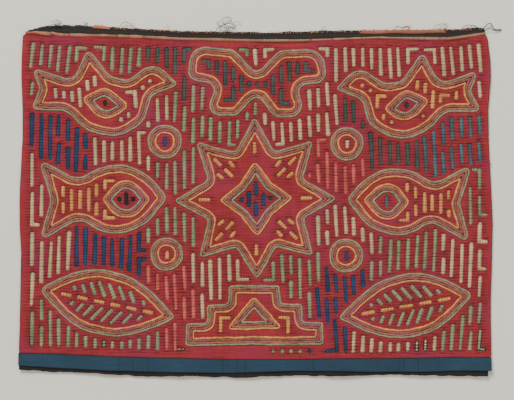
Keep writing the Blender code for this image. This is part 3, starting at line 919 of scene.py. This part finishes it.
# The top edge goes on under the piping, and the lower edge follows the hem
near_top = np.clip((red_outline[:, 1] - 152) / 12, 0, 1)
near_top *= np.clip((242 - np.abs(red_outline[:, 0])) / 8, 0, 1)
red_outline[:, 1] += near_top * (2.4 + strays("piping", red_outline[:, 0]))
near_hem = np.clip((-148 - red_outline[:, 1]) / 8, 0, 1)
red_outline[:, 1] += near_hem * (strays("hem top", red_outline[:, 0]) - 0.1)
inner_edge = evened(further_in(red_outline, FOLD), 1.3)
hem_side_tree = tree_of(inner_edge)
cuts = [evened(slit.outline(), 1.2) for slit in slits]
rims = [cut - inward(cut) * 0.5 for cut in cuts]
lattice = lattice[inside(lattice, inner_edge)]
lattice = lattice[nearest_in(hem_side_tree, lattice) > 0.7]
rim_tree = tree_of(np.vstack(rims))
lattice = lattice[nearest_in(rim_tree, lattice) > 0.55]
in_cut = np.zeros(len(lattice), bool)
for rim in rims:
    low, high = rim.min(axis=0), rim.max(axis=0)
    near = np.flatnonzero(((lattice > low) & (lattice < high)).all(axis=1))
    in_cut[near] |= inside(lattice[near], rim)
lattice = lattice[~in_cut]
print("lattice points:", len(lattice), "rim points:", sum(len(r) for r in rims))

# %% Triangles between them
loops = [inner_edge, *rims]
loop_of = np.concatenate([np.full(len(lattice), -1)] + [np.full(len(p), k) for k, p in enumerate(loops)])
borders = []
start = len(lattice)
for loop in loops:
    count = len(loop)
    borders += [(start + k, start + (k + 1) % count) for k in range(count)]
    start += count
flat = [Vector(p) for p in np.vstack([lattice, *loops])]
out_points, _, out_faces, source, _, _ = delaunay_2d_cdt(flat, borders, [], 0, 1e-6, True)
flat_out = np.array([p[:] for p in out_points])
loop_out = loop_of[[s[0] for s in source]]
place_of = {s[0]: k for k, s in enumerate(source)}
triangles = np.array(out_faces)
corners = flat_out[triangles]
turn = np.cross(corners[:, 1] - corners[:, 0], corners[:, 2] - corners[:, 0])
triangles[turn < 0] = triangles[turn < 0][:, ::-1]
middles = corners.mean(axis=1)
same = (loop_out[triangles] == loop_out[triangles][:, :1]).all(axis=1) & (loop_out[triangles[:, 0]] >= 0)
drop = np.zeros(len(triangles), bool)
for k in np.flatnonzero(same):
    loop = loops[loop_out[triangles[k, 0]]]
    within = inside(middles[k : k + 1], loop)[0]
    drop[k] = within if loop_out[triangles[k, 0]] else not within
triangles = triangles[~drop]
print("flat triangles:", len(triangles))

# %% The sheet lifted, with its edges turned under
height, deep = red_surface(flat_out)
points = [np.column_stack([flat_out, height])]
crease_shade_marks = [deep]
faces = [tuple(t) for t in triangles]
total = len(flat_out)


def turn_under(first, count, rings):
    """Joins a border loop to the rings below it. Each ring is (points, crease)."""
    global total
    upper = [place_of[first + k] for k in range(count)]
    for ring, marks in rings:
        lower = [total + k for k in range(count)]
        points.append(ring)
        crease_shade_marks.append(marks)
        total += count
        for k in range(count):
            n = (k + 1) % count
            faces.append((upper[k], upper[n], lower[n], lower[k]))
        upper = lower


def dropped(loop, down, mark):
    """A ring of 3-D points that far below the red's surface, and its painted shade, less of it beside the
    hem.
    """
    surface, marks = red_surface(loop)
    mark = mark * (1 - 0.9 * np.clip((-148 - loop[:, 1]) / 8, 0, 1))
    return np.column_stack([loop, surface - down]), np.maximum(marks, mark)


start = len(lattice) + len(inner_edge)
# The cut edges turn down into each slit, their walls darkened with painted shade
for cut, rim in zip(cuts, rims):
    turn_under(start, len(rim), [dropped(cut - inward(cut) * 0.1, 0.2, 0.1), dropped(cut, 0.8, 0.75)])
    start += len(rim)
edge_in = inward(inner_edge)
fold_rings = []
# Rings of the folded outer edge: how far out and down in mm, and its painted shade
for out, down, mark in ((0.65, 0.12, 0.35), (1.05, 0.5, 0.85), (1.2, 1.05, 1.0)):
    fold_rings.append(dropped(inner_edge - edge_in * out, down, mark))
first_fold = len(faces)
# The cloth is on the other side of this loop, so its faces are turned round
turn_under(len(lattice), len(inner_edge), fold_rings)
faces[first_fold:] = [face[::-1] for face in faces[first_fold:]]
points = np.vstack(points)
# The plain strip under the piping's middle was covered and hardly faded
covered = np.exp(-(((below_piping(points[:, 0], points[:, 1]) - 4.0) / 2.4) ** 2))
covered *= np.exp(-(((points[:, 0] - 8) / 62) ** 4))
red_ground = sew("red_ground", [(points, faces, np.concatenate(crease_shade_marks), 0.7 * covered)], ["red"])
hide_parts("ground_cloth")

# %% [markdown]
# ## The inlays
# Under each slit lies a scrap of another colour. It bulges up a little in the cut, and the same stitches
# that hold the red draw it into ripples about 3 mm apart. Scraps of one colour come from one cloth, so
# they are one piece here.

# %% Rippled scraps under the slits
# In mm: how far below the red's top a scrap's sides lie, how far it bulges and how deep its ripples are
SCRAP_SINK = 0.72
SCRAP_BULGE = 0.66
RIPPLE_DEPTH = 0.4
INLAY_SHADES = ("sage", "cobalt", "beige", "slate", "teal", "rose", "gold", "ink")


def scrap(slit, across_from, across_to, along_from, along_to, upright=True):
    """A part: a grid over a slit, or over its foot, whose long way is across the slit."""
    long_from, long_to = (along_from, along_to) if upright else (across_from, across_to)
    wide_from, wide_to = (across_from, across_to) if upright else (along_from, along_to)
    columns = np.linspace(wide_from - 0.7, wide_to + 0.7, 6)
    rows = np.arange(long_from - 0.7, long_to + 1.4, 0.75)
    c, r = np.meshgrid(columns, rows)
    local = np.stack([c.ravel(), r.ravel()], axis=1) if upright else np.stack([r.ravel(), c.ravel()], axis=1)
    places = slit.turned(local)
    x, y = places[:, 0], places[:, 1]
    if upright and abs(slit.tilt) < 0.2:
        ripple = crease(x, y)
    else:
        ripple = 0.8 * np.exp(-((((r.ravel() + 40) % STITCH_PITCH - 1.5) / 0.6) ** 2))
    share = (c.ravel() - wide_from) / (wide_to - wide_from)
    bulge = np.sin(np.pi * np.clip(share, 0, 1))
    ends = np.minimum(r.ravel() - long_from, long_to - r.ravel())
    bulge *= np.clip(ends / 1.6, 0, 1) ** 0.5
    ripple = np.clip(ripple * end_chance.uniform(0.5, 1.25, len(rows)).repeat(len(columns)), 0, 1)
    height = lie(x, y) + RED_TOP - SCRAP_SINK + SCRAP_BULGE * bulge - RIPPLE_DEPTH * ripple
    # Painted shade in the ripples' hollows and at the sides, where the scrap sinks under the red
    mark = np.clip(0.7 * ripple + 0.4 * (1 - bulge), 0, 1)
    quads = [face if upright else face[::-1] for face in grid_faces(len(rows), len(columns))]
    # The tone wanders at random, and drops at the sides as painted shade
    tone = slit.tone + 0.25 * np.sin(r.ravel() / 5.0 + slit.x) - 0.2 * (1 - bulge)
    tone += end_chance.normal(0, 0.26, len(tone))
    return np.column_stack([places, height]), quads, mark, tone


for shade in INLAY_SHADES:
    parts = []
    for slit in slits:
        if slit.cotton != shade:
            continue
        w, h = slit.wide / 2, slit.long / 2
        parts.append(scrap(slit, -w, w, -h, h))
        if slit.foot:
            low, high = sorted((slit.foot + math.copysign(w, slit.foot), math.copysign(w * 0.6, slit.foot)))
            floor, ceiling = (-h, -h + 2 * w) if slit.foot_end < 0 else (h - 2 * w, h)
            parts.append(scrap(slit, low, high, floor, ceiling, upright=False))
    sew("inlay_" + shade, parts, [shade])

# %% [markdown]
# ## The outlines
# Each band is narrow strips of cotton, one inside the other, with their edges turned under: sage, rosy
# brown, mauve and yellow from outside in, and the other way round at a window. Slanting stitches about
# 2 mm apart pinch the narrow strips into something like a twisted cord. Each strip is a low ridge swept
# along its loop, a little uneven in its place, width and shade.

# %% Cross-section of a strip
# Across the strip from -1 to 1, the share of its height, and the painted shade there, darkest on its edges
RIDGE = [(-1.0, -0.3, 0.62), (-0.86, 0.5, 0.2), (-0.4, 0.96, 0.0)]
RIDGE += [(-across, high, mark) for across, high, mark in RIDGE[::-1]]

# The middle of each strip from the band's outer edge, its width and its height, all in mm, and how
# strongly its stitches pinch it
STRIPS = [
    ("sage", 1.15, 2.2, 0.75, 0.75),
    ("brown", 3.35, 2.35, 0.7, 0.35),
    ("mauve", 5.75, 2.55, 0.75, 0.35),
    ("gold", 8.2, 2.2, 0.85, 0.85),
]
WINDOW_STRIPS = [
    ("gold", 1.2, 2.2, 0.85, 0.85),
    ("brown", 3.45, 2.35, 0.7, 0.35),
    ("mauve", 5.8, 2.55, 0.75, 0.35),
    ("sage", 8.2, 2.2, 0.75, 0.75),
]


# %% Sweeping one strip
def waver(count, length, waves, size):
    """A closed run of smooth unevenness: waves are lengths in mm, size is its greatest reach."""
    turn = 2 * np.pi * np.arange(count) / count
    run = sum(np.sin(turn * max(1, round(length / w)) + chance.uniform(0, 6.28)) for w in waves)
    return size * run / len(waves)


def sweep(loop, width, height, pinched):
    """A part: a ridge along a closed loop, pinched at every bead. A bead takes three stations."""
    line = softened(loop, 0.5, 0.5)
    length = len(line) * 0.5
    count = max(6, round(length / BEAD_PITCH)) * 3
    line = evened(line, length / count)
    count = len(line)
    side = inward(line)
    line = line + side * waver(count, length, (46, 27, 13), 0.34)[:, None]
    swell = 1 + waver(count, length, (31, 12, 7), 0.2)
    shade = waver(count, length, (38, 15, 6), 0.55) + chance.uniform(-0.12, 0.12, count)
    pinch = np.where(np.arange(count) % 3 == 0, 1.0, 0.0) * chance.uniform(0.45, 1.1, count) * pinched
    line_tree = tree_of(line)
    points, marks, shades = [], [], []
    for across, high, mark in RIDGE:
        # The stitch slants: it crosses the inner side one station later
        slanted = np.roll(pinch, 1) if across > 0.2 else pinch
        out = across * width / 2 * swell * (1 - 0.2 * slanted)
        # Inside a sharp corner a point stops halfway to the other leg, so the strip is mitred
        for _ in range(3):
            out = np.sign(out) * np.minimum(np.abs(out), nearest_in(line_tree, line + side * out[:, None]))
        places = line + side * out[:, None]
        z = lie(line[:, 0], line[:, 1]) + BAND_FOOT + high * height * (1 - 0.5 * slanted)
        points.append(np.column_stack([places, z]))
        # Painted shade on the strip's edges and in every pinch
        marks.append(np.clip(mark + 0.8 * slanted, 0, 1))
        shades.append(shade)
    faces = loop_faces(len(RIDGE), count)
    return np.vstack(points), faces, np.concatenate(marks), np.concatenate(shades)


def under_cloth(outer):
    """A part: the cloth under a band's strips, coloured as painted shadow, which shows as a thin dark line
    between them.
    """
    border, hole = (evened(further_in(outer, depth), 1.6) for depth in (0.6, BAND_WIDTH - 0.6))
    n, m = len(border), len(hole)
    sides = [(k, (k + 1) % n) for k in range(n)] + [(n + k, n + (k + 1) % m) for k in range(m)]
    corners = [Vector(p) for p in (*border, *hole)]
    places, _, faces, _, _, _ = delaunay_2d_cdt(corners, sides, [], 0, 1e-6, False)
    places = np.array([p[:] for p in places])
    middles = np.array([places[list(face)].mean(axis=0) for face in faces])
    kept = inside(middles, border) & ~inside(middles, hole)
    z = lie(places[:, 0], places[:, 1]) + BAND_FOOT - 0.1
    return np.column_stack([places, z]), [face for face, keep in zip(faces, kept) if keep]


# %% Every band
STRIP_SHADES = ("shadow", "sage", "brown", "mauve", "gold")
for name in BAND_NAMES:
    parts = [under_cloth(band_outer[name])]
    of_face = [0] * len(parts[0][1])
    for shade, depth, *size in WINDOW_STRIPS if "window" in name else STRIPS:
        parts.append(sweep(further_in(band_outer[name], depth), *size))
        of_face += [STRIP_SHADES.index(shade)] * len(parts[-1][1])
    piece = sew(name.replace("_band", "_outline"), parts, STRIP_SHADES, of_face)
    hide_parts(name)

# %% [markdown]
# ## The backing
# The black lining of the blouse shows as a strip along the top, with a cut and fraying edge, and as a thin
# uneven line under the blue hem. It is a sheet a millimetre thick, closed below, whose rows of points
# follow the solid's lower and upper edges.


# %% Black backing
backing_loop = softened(upper_loops("backing_cloth")[0], 1.0, 0.8)
xs = np.linspace(backing_loop[:, 0].min() + 0.3, backing_loop[:, 0].max() - 0.3, 420)
low, high = edge_lines(backing_loop, xs)
ragged = np.convolve(chance.normal(0, 1.0, len(xs) + 6), np.ones(7) / 7, mode="valid")
low = low + np.clip(ragged * 0.9, -0.6, 0.7) + strays("backing low", xs)
high = high + chance.normal(0, 0.22, len(xs)) + 0.7 * ragged[::-1]
# Each level: its place across in mm, its painted shade in that fold or edge, and its height in mm
levels = [
    (low + 0.5, 0.5, 0.0),
    (low, 0.6, 0.4),
    (low + 0.3, 0.8, 0.9),
    (low + 1.4, 0.7, 1.0),
    (low + 4, 0.65, 1.0),
    (low + 9, 0.5, 1.0),
    (low + 16, 0.0, 1.0),
    (low + 25, 0.0, 1.0),
    ((low + high) / 2, 0.0, 1.0),
    (high - 24, 0.0, 1.0),
    (high - 15, 0.0, 1.0),
    (high - 10.5, 0.7, 1.0),
    (high - 7.0, 0.1, 1.45),
    (high - 4.6, 0.0, 1.5),
    (high - 3.2, 0.5, 1.2),
    (high - 1.8, 0.0, 1.45),
    (high - 0.6, 0.2, 1.3),
    (high, 0.5, 0.9),
    (high - 0.2, 0.9, 0.1),
    (high - 0.6, 0.3, 0.0),
    ((low + high) / 2, 0.0, 0.0),
]
rows = []
for y, _, z in levels:
    # The lower left corner sticks out a little, and the part above the seam lies in small waves
    x = xs - 2.6 * np.clip((-150 - y) / 20, 0, 1) * np.exp(-(((xs - xs[0]) / 20) ** 2))
    waves = 0.12 * np.sin(xs / 7.0 + y / 3) if z > 1.1 else 0
    rows.append(np.column_stack([x, y, lift(x, y) + z + waves]))
marks = np.concatenate([np.full(len(xs), mark) for _, mark, _ in levels])
faces = grid_faces(len(levels), len(xs))
last = (len(levels) - 1) * len(xs)
faces += [(last + k, last + k + 1, k + 1, k) for k in range(len(xs) - 1)]
left_end = [row * len(xs) for row in range(len(levels))]
faces += [tuple(left_end), tuple(k + len(xs) - 1 for k in left_end[::-1])]
black_backing = sew("black_backing", [(np.vstack(rows), faces, marks)], ["black"])
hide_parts("backing_cloth")

# %% [markdown]
# ## The blue hem
# A strip of blue poplin closes the lower edge. Its long edges are folded under, so it is plump at both
# sides, and it lies in slow waves where it was eased on.

# %% Blue hem
hem_loop = softened(upper_loops("hem_band")[0], 1.0, 0.6)
xs = np.linspace(hem_loop[:, 0].min() + 0.1, hem_loop[:, 0].max() - 0.1, 700)
low, high = edge_lines(hem_loop, xs)
low += 0.12 * np.sin(xs / 11.0) + chance.normal(0, 0.05, len(xs)) + strays("hem low", xs)
high += strays("hem top", xs) + 0.3 * np.sin(2 * np.pi * xs / 3.1) * np.sin(xs / 26)
pressed = np.exp(-(((xs[:, None] - end_chance.uniform(-240, 240, 16)) / 0.8) ** 2))
pressed = (pressed * end_chance.uniform(0.1, 0.45, 16)).max(axis=1)
wave = 0.14 * np.sin(xs / 12.5 + 0.6 * np.sin(xs / 31))
ends = np.clip(np.minimum(xs - xs[0], xs[-1] - xs) / 1.2, 0, 1) ** 0.5
# Each level: its place across in mm, its painted shade at the folded edges, and its rise in mm
levels = [
    (low + 0.45, 0.9, -0.95),
    (low, 0.5, -0.45),
    (low + 0.25, 0.1, -0.05),
    (low + 1.1, 0.0, 0.16),
    (low + 2.6, 0.0, 0.06),
    (low + 5.0, 0.0, 0.0),
    ((low + high) / 2, 0.0, 0.04),
    (high - 4.0, 0.0, 0.0),
    (high - 2.0, 0.0, 0.02),
    (high - 0.9, 0.1, -0.04),
    (high - 0.2, 0.6, -0.3),
    (high + 0.4, 1.0, -0.8),
]
sunk = (1 - ends) * 0.9 + 0.25 * pressed
rows = [np.column_stack([xs, y, lie(xs, y) + HEM_TOP + z + wave - sunk]) for y, _, z in levels]
# The folded edges and the presses get painted shade
marks = np.concatenate([np.maximum(mark, pressed) for _, mark, _ in levels])
blue_hem = sew("blue_hem", [(np.vstack(rows), grid_faces(len(levels), len(xs)), marks)], ["blue"])
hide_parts("hem_band")

# %% [markdown]
# ## The tan piping and the yoke scraps
# Along the top the red's raw edge is bound in a rolled strip of tan cotton. It was rolled between the
# fingers, so it twists: low slanting ridges run over it. Painted shade darkens its edges, the grooves
# and the nips, and gives the dark line where it meets the red.
# Above it, scraps of the salmon yoke are still caught in the seam.

# %% Tan piping
xs = np.linspace(piping_loop[:, 0].min() + 0.1, piping_loop[:, 0].max() - 0.1, 560)
low, high = edge_lines(piping_loop, xs)
uneven = np.convolve(chance.normal(0, 1, len(xs) + 8), np.ones(9) / 9, mode="valid")
loose = np.exp(-(((xs + 220) / 17) ** 2))
wide = (high - low) * (strays("piping width", xs) + 0.2 * uneven + 0.25 * loose * np.sin(xs / 6.0))
low = low + strays("piping", xs) + (high - low - wide) / 2
# Across the roll: its share of the width, its rise, and its painted shade, darkest at both edges
roll = [(-0.06, -0.4, 1.0), (0.0, 0.1, 0.95), (0.08, 0.5, 0.5), (0.25, 0.8, 0.1), (0.48, 0.95, 0.0)]
roll += [(0.72, 0.85, 0.0), (0.9, 0.5, 0.3), (1.0, 0.1, 0.8), (1.02, -0.3, 1.0)]
rows, marks, shades = [], [], []
nip_places = np.concatenate([chance.uniform(-236, 236, 11), [168.5, -206, -199]])
nips = np.exp(-(((xs[:, None] - nip_places) / 1.0) ** 2)).max(axis=1) * (0.4 + 0.3 * np.sin(xs / 31))
low = low + 0.8 * loose * np.clip(np.sin(xs / 3.1), 0, 1)
for share, rise, mark in roll:
    twist = 0.5 + 0.5 * np.sin(2 * np.pi * (xs / 6.1 + share * 1.1) + 2.2 * np.sin(xs / 19))
    y = low - 0.3 + wide * share
    z = lie(xs, y) + 1.45 + rise * (1.8 - 0.32 * twist - 0.5 * nips)
    rows.append(np.column_stack([xs, y, z]))
    # Painted shade in the twist's grooves, the nips and the dark notches of the loose end
    gap_shade = loose * np.clip(np.sin((xs + 9 * share) / 3.4) * 2 - 0.9, 0, 1) * (1.1 - share)
    marks.append(np.clip(mark + 0.22 * twist**3 + nips + gap_shade, 0, 1))
    shades.append(0.45 * uneven + 0.25 * loose)
faces = grid_faces(len(roll), len(xs))
# Its left end is bound in salmon cotton, up to a slanting line
of_face = [int(xs[face[0] % len(xs)] + 3.5 * (face[0] // len(xs)) < -205) for face in faces]
part = (np.vstack(rows), faces, np.concatenate(marks), np.concatenate(shades))
tan_piping = sew("tan_piping", [part], ["tan", "salmon"], of_face)
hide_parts("top_piping")

# %% Salmon scraps
for name in ("yoke_scrap_left", "yoke_scrap_right"):
    loop = softened(upper_loops(name)[0], 0.6, 0.4)
    on_right = name.endswith("right")
    xs = np.arange(loop[:, 0].min() + (-4.8 if on_right else 0.1), loop[:, 0].max(), 0.7)
    # The right scrap's solid has tapering ends, and the torn cloth's are blunt
    inner = np.clip(xs, loop[:, 0].min() + 8, loop[:, 0].max() - 8)
    low, high = edge_lines(loop, inner if on_right else xs)
    torn = np.convolve(np.abs(chance.normal(0, 0.9, len(xs) + 2)), np.ones(3) / 3, mode="valid")
    ends = np.clip(np.minimum(xs - xs[0], xs[-1] - xs) / 2.2, 0.35, 1)
    high = low + (high - low) * ends + torn - (0.9 if on_right else 0.3)
    low = low + 0.3 * np.sin(xs / 7) - (0.9 if on_right else 0)
    # Each level: its place across, its painted shade at the torn edges, and its rise in mm
    levels = [(low, 0.6, -0.4), (low + 0.5, 0.1, 0.05), ((low + high) / 2, 0.0, 0.2)]
    levels += [(high - 0.4, 0.1, 0.1), (high, 0.5, -0.3)]
    rows = [np.column_stack([xs, y, lie(xs, y) + 2.0 + z + 0.16 * np.sin(xs / 2.3)]) for y, _, z in levels]
    marks = np.concatenate([np.full(len(xs), mark) for _, mark, _ in levels])
    shades = np.tile(0.35 * np.sin(xs / 9) + 0.3 * torn - (0.75 if on_right else 0.15), 5)
    part = (np.vstack(rows), grid_faces(len(rows), len(xs)), marks, shades)
    piece = sew(name + "_cloth", [part], ["salmon"])
    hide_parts(name)

# %% Crumbs of the yoke in the seam
# Each crumb is a place along X, its length and its height in mm
CRUMBS = [(-139, 7, 1.3), (-129, 4, 1.0), (-120, 3, 0.8), (-95, 5, 1.0), (-86, 8, 1.3), (-72, 4, 0.9)]
CRUMBS += [(-61, 9, 1.0), (-47, 5, 0.8), (206, 8, 1.0), (218, 5, 1.2), (60, 6, 0.9), (88, 12, 1.1)]
# The points along a crumb
ACROSS = 7
parts = []
for x, long, high in CRUMBS:
    xs = np.linspace(x - long / 2, x + long / 2, ACROSS)
    _, top = edge_lines(backing_loop, xs)
    top = top + chance.normal(0, 0.2, ACROSS)
    shape = np.sin(np.linspace(0.2, math.pi - 0.2, ACROSS)) * high
    rows, marks = [], []
    # Each row: how far down as a share of the crumb's height, how high it lies, and its painted shade
    for step, rise, mark in ((-1.2, 1.3, 0.4), (-0.4, 1.75, 0.1), (0.0, 1.6, 0.4)):
        y = top + step * shape - 0.2
        rows.append(np.column_stack([xs, y, lift(xs, y) + rise]))
        marks.append(np.full(ACROSS, mark))
    parts.append((np.vstack(rows), grid_faces(3, ACROSS), np.concatenate(marks)))
sew("yoke_crumbs", parts, ["salmon"])

# %% [markdown]
# ## Loose threads
# The panel was cut from its blouse, so threads stand out of the top edge and curl. Each is a thin tube
# along a few listed points, rounded by a smooth curve through them.


# %% A curled thread
def thread_line(points, step=0.5):
    """Points of a smooth curve through a few places, in mm."""
    points = np.array(points, float)
    ends = np.vstack([2 * points[0] - points[1], points, 2 * points[-1] - points[-2]])
    line = []
    for k in range(1, len(ends) - 2):
        a, b, c, d = ends[k - 1 : k + 3]
        count = max(2, int(np.linalg.norm(c - b) / step))
        for t in np.arange(count) / count:
            bend = (2 * a - 5 * b + 4 * c - d) * t**2 + (3 * b - a - 3 * c + d) * t**3
            line.append(0.5 * (2 * b + (c - a) * t + bend))
    line.append(points[-1])
    return np.array(line)


def thread_tube(line, radius, sides=5):
    """A part: a thin tube round a line, closed at both ends."""
    along = np.gradient(line, axis=0)
    along /= np.maximum(np.linalg.norm(along, axis=1), 1e-9)[:, None]
    side = np.cross(along, (0.13, 0.21, 0.97))
    side /= np.maximum(np.linalg.norm(side, axis=1), 1e-9)[:, None]
    up = np.cross(side, along)
    angle = (2 * np.pi * np.arange(sides) / sides)[:, None]
    points = line[:, None] + radius * (np.cos(angle) * side[:, None] + np.sin(angle) * up[:, None])
    ends = [tuple(range(sides))[::-1], tuple((len(line) - 1) * sides + s for s in range(sides))]
    return points.reshape(-1, 3), loop_faces(len(line), sides) + ends


# %% Threads along the top edge
# Each thread: its cotton, its radius in mm, and the places it passes through as (x, y, height)
THREADS = [
    ("grey", 0.34, [(-214, 180, 2), (-211, 183, 3), (-206, 182.4, 3.5), (-202, 185, 2.5), (-208, 188, 1.5)]),
    ("grey", 0.26, [(-202, 180, 2), (-206, 184, 3), (-213, 186.5, 1.6)]),
    ("grey", 0.36, [(-177, 180, 2), (-177.4, 182.4, 3), (-174.6, 183.6, 2.5), (-179, 185, 1.4)]),
    ("grey", 0.26, [(-143, 178, 2), (-140, 182.4, 3), (-136, 185.6, 2.4), (-131, 183.6, 3), (-127, 180, 2)]),
    ("beige", 0.3, [(-141, 178.5, 2), (-136, 181, 3), (-131, 180.6, 3), (-129, 184, 2.4), (-125, 181, 2)]),
    ("beige", 0.28, [(-96, 176.5, 2), (-94, 180, 3), (-91, 181.5, 2), (-92, 184, 1.4)]),
    (
        "grey",
        0.34,
        [(-42, 175, 2), (-38, 180, 3.5), (-31, 183, 4), (-25, 187, 3.2)]
        + [(-29, 190.5, 2.4), (-35, 187, 3), (-30, 181, 3.6), (-22, 179, 3)],
    ),
    ("grey", 0.3, [(-38, 175, 2), (-34, 182, 3.2), (-27, 184, 3), (-21, 181, 2.6), (-24, 177, 2.2)]),
    ("grey", 0.3, [(-27, 175, 2), (-29, 179, 2.8), (-36, 180.4, 3.2), (-40, 184, 2.4), (-37, 186, 2)]),
    ("beige", 0.28, [(-30, 175.5, 2), (-27, 180.5, 3), (-20, 186, 2.4), (-15, 184, 1.8)]),
    ("grey", 0.26, [(69, 176, 2), (70, 179, 2.8), (72, 181.4, 2)]),
    (
        "crimson",
        0.36,
        [(144, 176.6, 2.4), (147, 180.6, 3.2), (152, 179.6, 3.4), (158, 181, 2.6), (160, 178, 2.6)],
    ),
    ("crimson", 0.34, [(150, 176, 2.4), (155, 179.4, 3), (161, 180.4, 2.6), (158, 177.6, 2.4)]),
    ("grey", 0.24, [(186, 177, 2), (188, 181.6, 3), (195, 183.6, 2.8), (199, 180.6, 2), (196, 177.6, 2)]),
    ("grey", 0.24, [(190, 177, 2), (194, 182, 3), (198, 183.4, 2), (199, 184.4, 1.4)]),
    ("grey", 0.28, [(214, 178, 2), (218, 181.5, 3.2), (224, 181.8, 3), (229, 180.4, 2.2)]),
    ("grey", 0.3, [(217, 178, 2), (222, 180, 3), (227, 181.8, 2.4), (231, 179.6, 2)]),
    (
        "grey",
        0.5,
        [(237, 178, 2), (241, 183, 3), (245, 183.4, 2)]
        + [(248, 178.4, 1), (253.4, 177.6, 0.6), (255.4, 178.6, 0.6)],
    ),
    ("grey", 0.36, [(238, 176, 2), (242, 179, 3), (247, 177, 2.0), (254, 176.6, 0.9), (255.8, 177.8, 0.5)]),
    ("crimson", 0.3, [(241.5, 37, 2.4), (244, 38, 2.2), (245.6, 36.4, 1.2)]),
]
THREAD_COTTONS = {"beige": "beige", "crimson": "red", "grey": "grey"}
for shade, key in THREAD_COTTONS.items():
    parts = [thread_tube(thread_line(places), radius) for s, radius, places in THREADS if s == shade]
    sew("loose_threads_" + shade, parts, [key])

# %% Short frayed ends along the top edge
# Each kind: its cotton, how many, the range of its lengths, how far down it starts and its radius, in mm
ENDS = [
    ("black", 110, (0.6, 2.0), 0.6, 0.16),
    ("salmon", 120, (1.4, 2.8), 2.4, 0.2),
    ("beige", 40, (1.2, 2.6), 2.0, 0.17),
]
for shade, count, lengths, depth, radius in ENDS:
    parts = []
    backing_x = np.sort(chance.uniform(-226 if shade == "black" else -160, 238, count))
    _, backing_high = edge_lines(backing_loop, backing_x)
    for x, y in zip(backing_x, backing_high):
        long, lean = chance.uniform(*lengths), chance.uniform(-0.9, 0.9)
        z = float(lift(np.array([x]), np.array([y]))[0])
        places = [(x, y - depth, z + 1.5), (x + lean, y - depth + long * 0.5, z + 1.8)]
        places.append((x + lean * 1.6, y - depth + long, z + 1.3))
        parts.append(thread_tube(thread_line(places), radius, sides=4))
    sew("frayed_ends_" + shade, parts, [shade])

# %% [markdown]
# ## Table, light and camera
# The panel lies on a pale seamless table. The light is soft and comes mostly from the top left, so
# the lower edge throws a short soft shadow. The camera looks straight down through a long lens.

# %% Table
bpy.ops.object.select_all(action="DESELECT")
bpy.ops.mesh.primitive_plane_add(size=6, location=(0, 0, -0.0002))
table_top = bpy.context.object
table_top.name = "table_top"
paper = bpy.data.materials.new("pale_grey_backdrop_paper")
paper.use_nodes = True
paper_shader = paper.node_tree.nodes["Principled BSDF"]
paper_shader.inputs["Base Color"].default_value = dye("#DFDACD")
paper_shader.inputs["Roughness"].default_value = 0.95
paper_shader.inputs["Specular IOR Level"].default_value = 0.1
table_top.data.materials.append(paper)

# %% Light
world = bpy.data.worlds.new("studio")
bpy.context.scene.world = world
world.use_nodes = True
world.node_tree.nodes["Background"].inputs["Color"].default_value = (1.0, 0.985, 0.96, 1.0)
world.node_tree.nodes["Background"].inputs["Strength"].default_value = 0.62


def soft_box(name, place, size, watts):
    """A square light that faces the middle of the panel: its place and size in metres, its power in watts."""
    light = bpy.data.lights.new(name, "AREA")
    light.size = size
    light.energy = watts
    lamp = bpy.data.objects.new(name, light)
    lamp.location = place
    lamp.rotation_euler = (-Vector(place)).to_track_quat("-Z", "Y").to_euler()
    bpy.context.scene.collection.objects.link(lamp)


soft_box("key", (-1.7, 3.7, 2.95), 1.5, 336)
soft_box("fill", (1.6, -0.6, 2.2), 1.6, 16)

# %% Camera
# The picture's width in pixels, what a pixel covers on the panel in mm, and the view's middle in mm
PICTURE_WIDTH = 514
PIXEL_MM = 1.04
VIEW_MIDDLE = (1.4, 0.3)
lens = bpy.data.cameras.new("view")
lens.lens = 100
lens.sensor_width = 36
camera = bpy.data.objects.new("view", lens)
distance = PIXEL_MM * PICTURE_WIDTH * MM * lens.lens / lens.sensor_width
camera.location = (VIEW_MIDDLE[0] * MM, VIEW_MIDDLE[1] * MM, distance + RED_TOP * MM)
bpy.context.scene.collection.objects.link(camera)
bpy.context.scene.camera = camera
print("camera height in m:", round(distance, 3))
